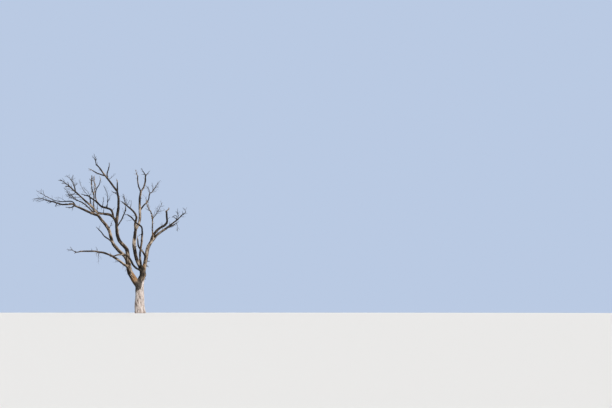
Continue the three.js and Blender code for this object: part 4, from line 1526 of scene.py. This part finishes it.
def twig_material(name, tint):
    look = TWIG_LOOK
    nodes = Nodes(name)
    place = nodes.place()
    mottle = nodes.noise(place, *look["mottle"])
    flakes = nodes.noise(place, *look["flakes"])
    darker = tuple(look["darker"] * part for part in tint)
    paler = tuple(min(1, look["paler"] * part) for part in tint)
    stops = list(zip(look["stops"], (darker, tint, paler)))
    colour = nodes.ramp(nodes.sum_of(mottle, flakes, look["flake_share"]), stops)
    nodes.surface(colour, flakes, flakes, look)
    return nodes.material


# Stage: the floor is level round the tree and falls gently away further out, in metres
FLOOR = {"level": 40.0, "reach": 1600.0, "fall": 24.0, "sides": 120, "roughness": 0.9}
FLOOR_COLOUR = (0.74, 0.73, 0.71)

# Lights: where each comes from, its strength, its angle in degrees and its colour
SUN = {"from": (0.62, -0.74, 0.62), "strength": 4.1, "angle": 7, "colour": (1, 0.965, 0.92)}
BACK_LIGHT = {"from": (-0.15, 0.97, 0.16), "strength": 2.4, "angle": 40, "colour": (0.88, 0.93, 1)}
FILL = {"colour": (0.83, 0.89, 1), "strength": 0.18}
SKY_COLOUR = (0.49, 0.59, 0.77)


def make_floor():
    sides = FLOOR["sides"]
    angles = np.arange(sides) * 2 * np.pi / sides
    rings = [
        np.stack([np.cos(angles) * reach, np.sin(angles) * reach, np.full(sides, height)], axis=1)
        for reach, height in ((FLOOR["level"], 0), (FLOOR["reach"], -FLOOR["fall"]))
    ]
    inner = np.arange(sides)
    after = (inner + 1) % sides
    middle = np.full(sides, 2 * sides)
    faces = np.vstack([
        np.stack([middle, inner, after], axis=1),
        np.stack([inner, inner + sides, after + sides], axis=1),
        np.stack([inner, after + sides, after], axis=1),
    ])
    mesh = mesh_from("floor", np.vstack([*rings, np.zeros((1, 3))]), faces)
    nodes = Nodes("floor")
    nodes.shader.inputs["Base Color"].default_value = (*FLOOR_COLOUR, 1)
    nodes.shader.inputs["Roughness"].default_value = FLOOR["roughness"]
    mesh.materials.append(nodes.material)
    put("floor", mesh)


def make_light():
    for name, light in (("sun", SUN), ("back_light", BACK_LIGHT)):
        lamp = bpy.data.lights.new(name, "SUN")
        lamp.energy = light["strength"]
        lamp.angle = math.radians(light["angle"])
        lamp.color = light["colour"]
        source = put(name, lamp)
        source.rotation_euler = Vector(light["from"]).to_track_quat("Z", "Y").to_euler()
    world = bpy.data.worlds.new("studio")
    bpy.context.scene.world = world
    world.use_nodes = True
    tree = world.node_tree
    fill = tree.nodes["Background"]
    fill.inputs["Color"].default_value = (*FILL["colour"], 1)
    fill.inputs["Strength"].default_value = FILL["strength"]
    seen = tree.nodes.new("ShaderNodeBackground")
    seen.inputs["Color"].default_value = (*SKY_COLOUR, 1)
    ray = tree.nodes.new("ShaderNodeLightPath")
    either = tree.nodes.new("ShaderNodeMixShader")
    tree.links.new(ray.outputs["Is Camera Ray"], either.inputs["Fac"])
    tree.links.new(fill.outputs["Background"], either.inputs[1])
    tree.links.new(seen.outputs["Background"], either.inputs[2])
    tree.links.new(either.outputs["Shader"], tree.nodes["World Output"].inputs["Surface"])


def make_camera():
    """The lens looks so that the trunk's foot shows at its pixel of the photograph."""
    focal = LENS / SENSOR * PHOTO_SIZE[0]
    right = math.atan((PHOTO_SIZE[0] / 2 - FOOT_PIXEL[0]) / focal)
    below = math.atan((FOOT_PIXEL[1] - PHOTO_SIZE[1] / 2) / focal)
    tilt = below - math.atan(EYE_HEIGHT / EYE_DISTANCE)
    lens = bpy.data.cameras.new("camera")
    lens.lens = LENS
    lens.sensor_width = SENSOR
    lens.clip_end = SIGHT
    camera = put("camera", lens)
    camera.location = (0, -EYE_DISTANCE, EYE_HEIGHT)
    camera.rotation_euler = (math.pi / 2 + tilt, 0, -right)
    bpy.context.scene.camera = camera


make_camera()
make_light()
make_floor()
bpy.context.scene.view_settings.view_transform = "Standard"
tree_limbs, tree_growths = grow_tree()
make_bark(tree_limbs, bark_material())
make_twigs(tree_growths, [
    twig_material(f"twig_tone_{index}", tint) for index, tint in enumerate(TWIG_COLOURS)
])
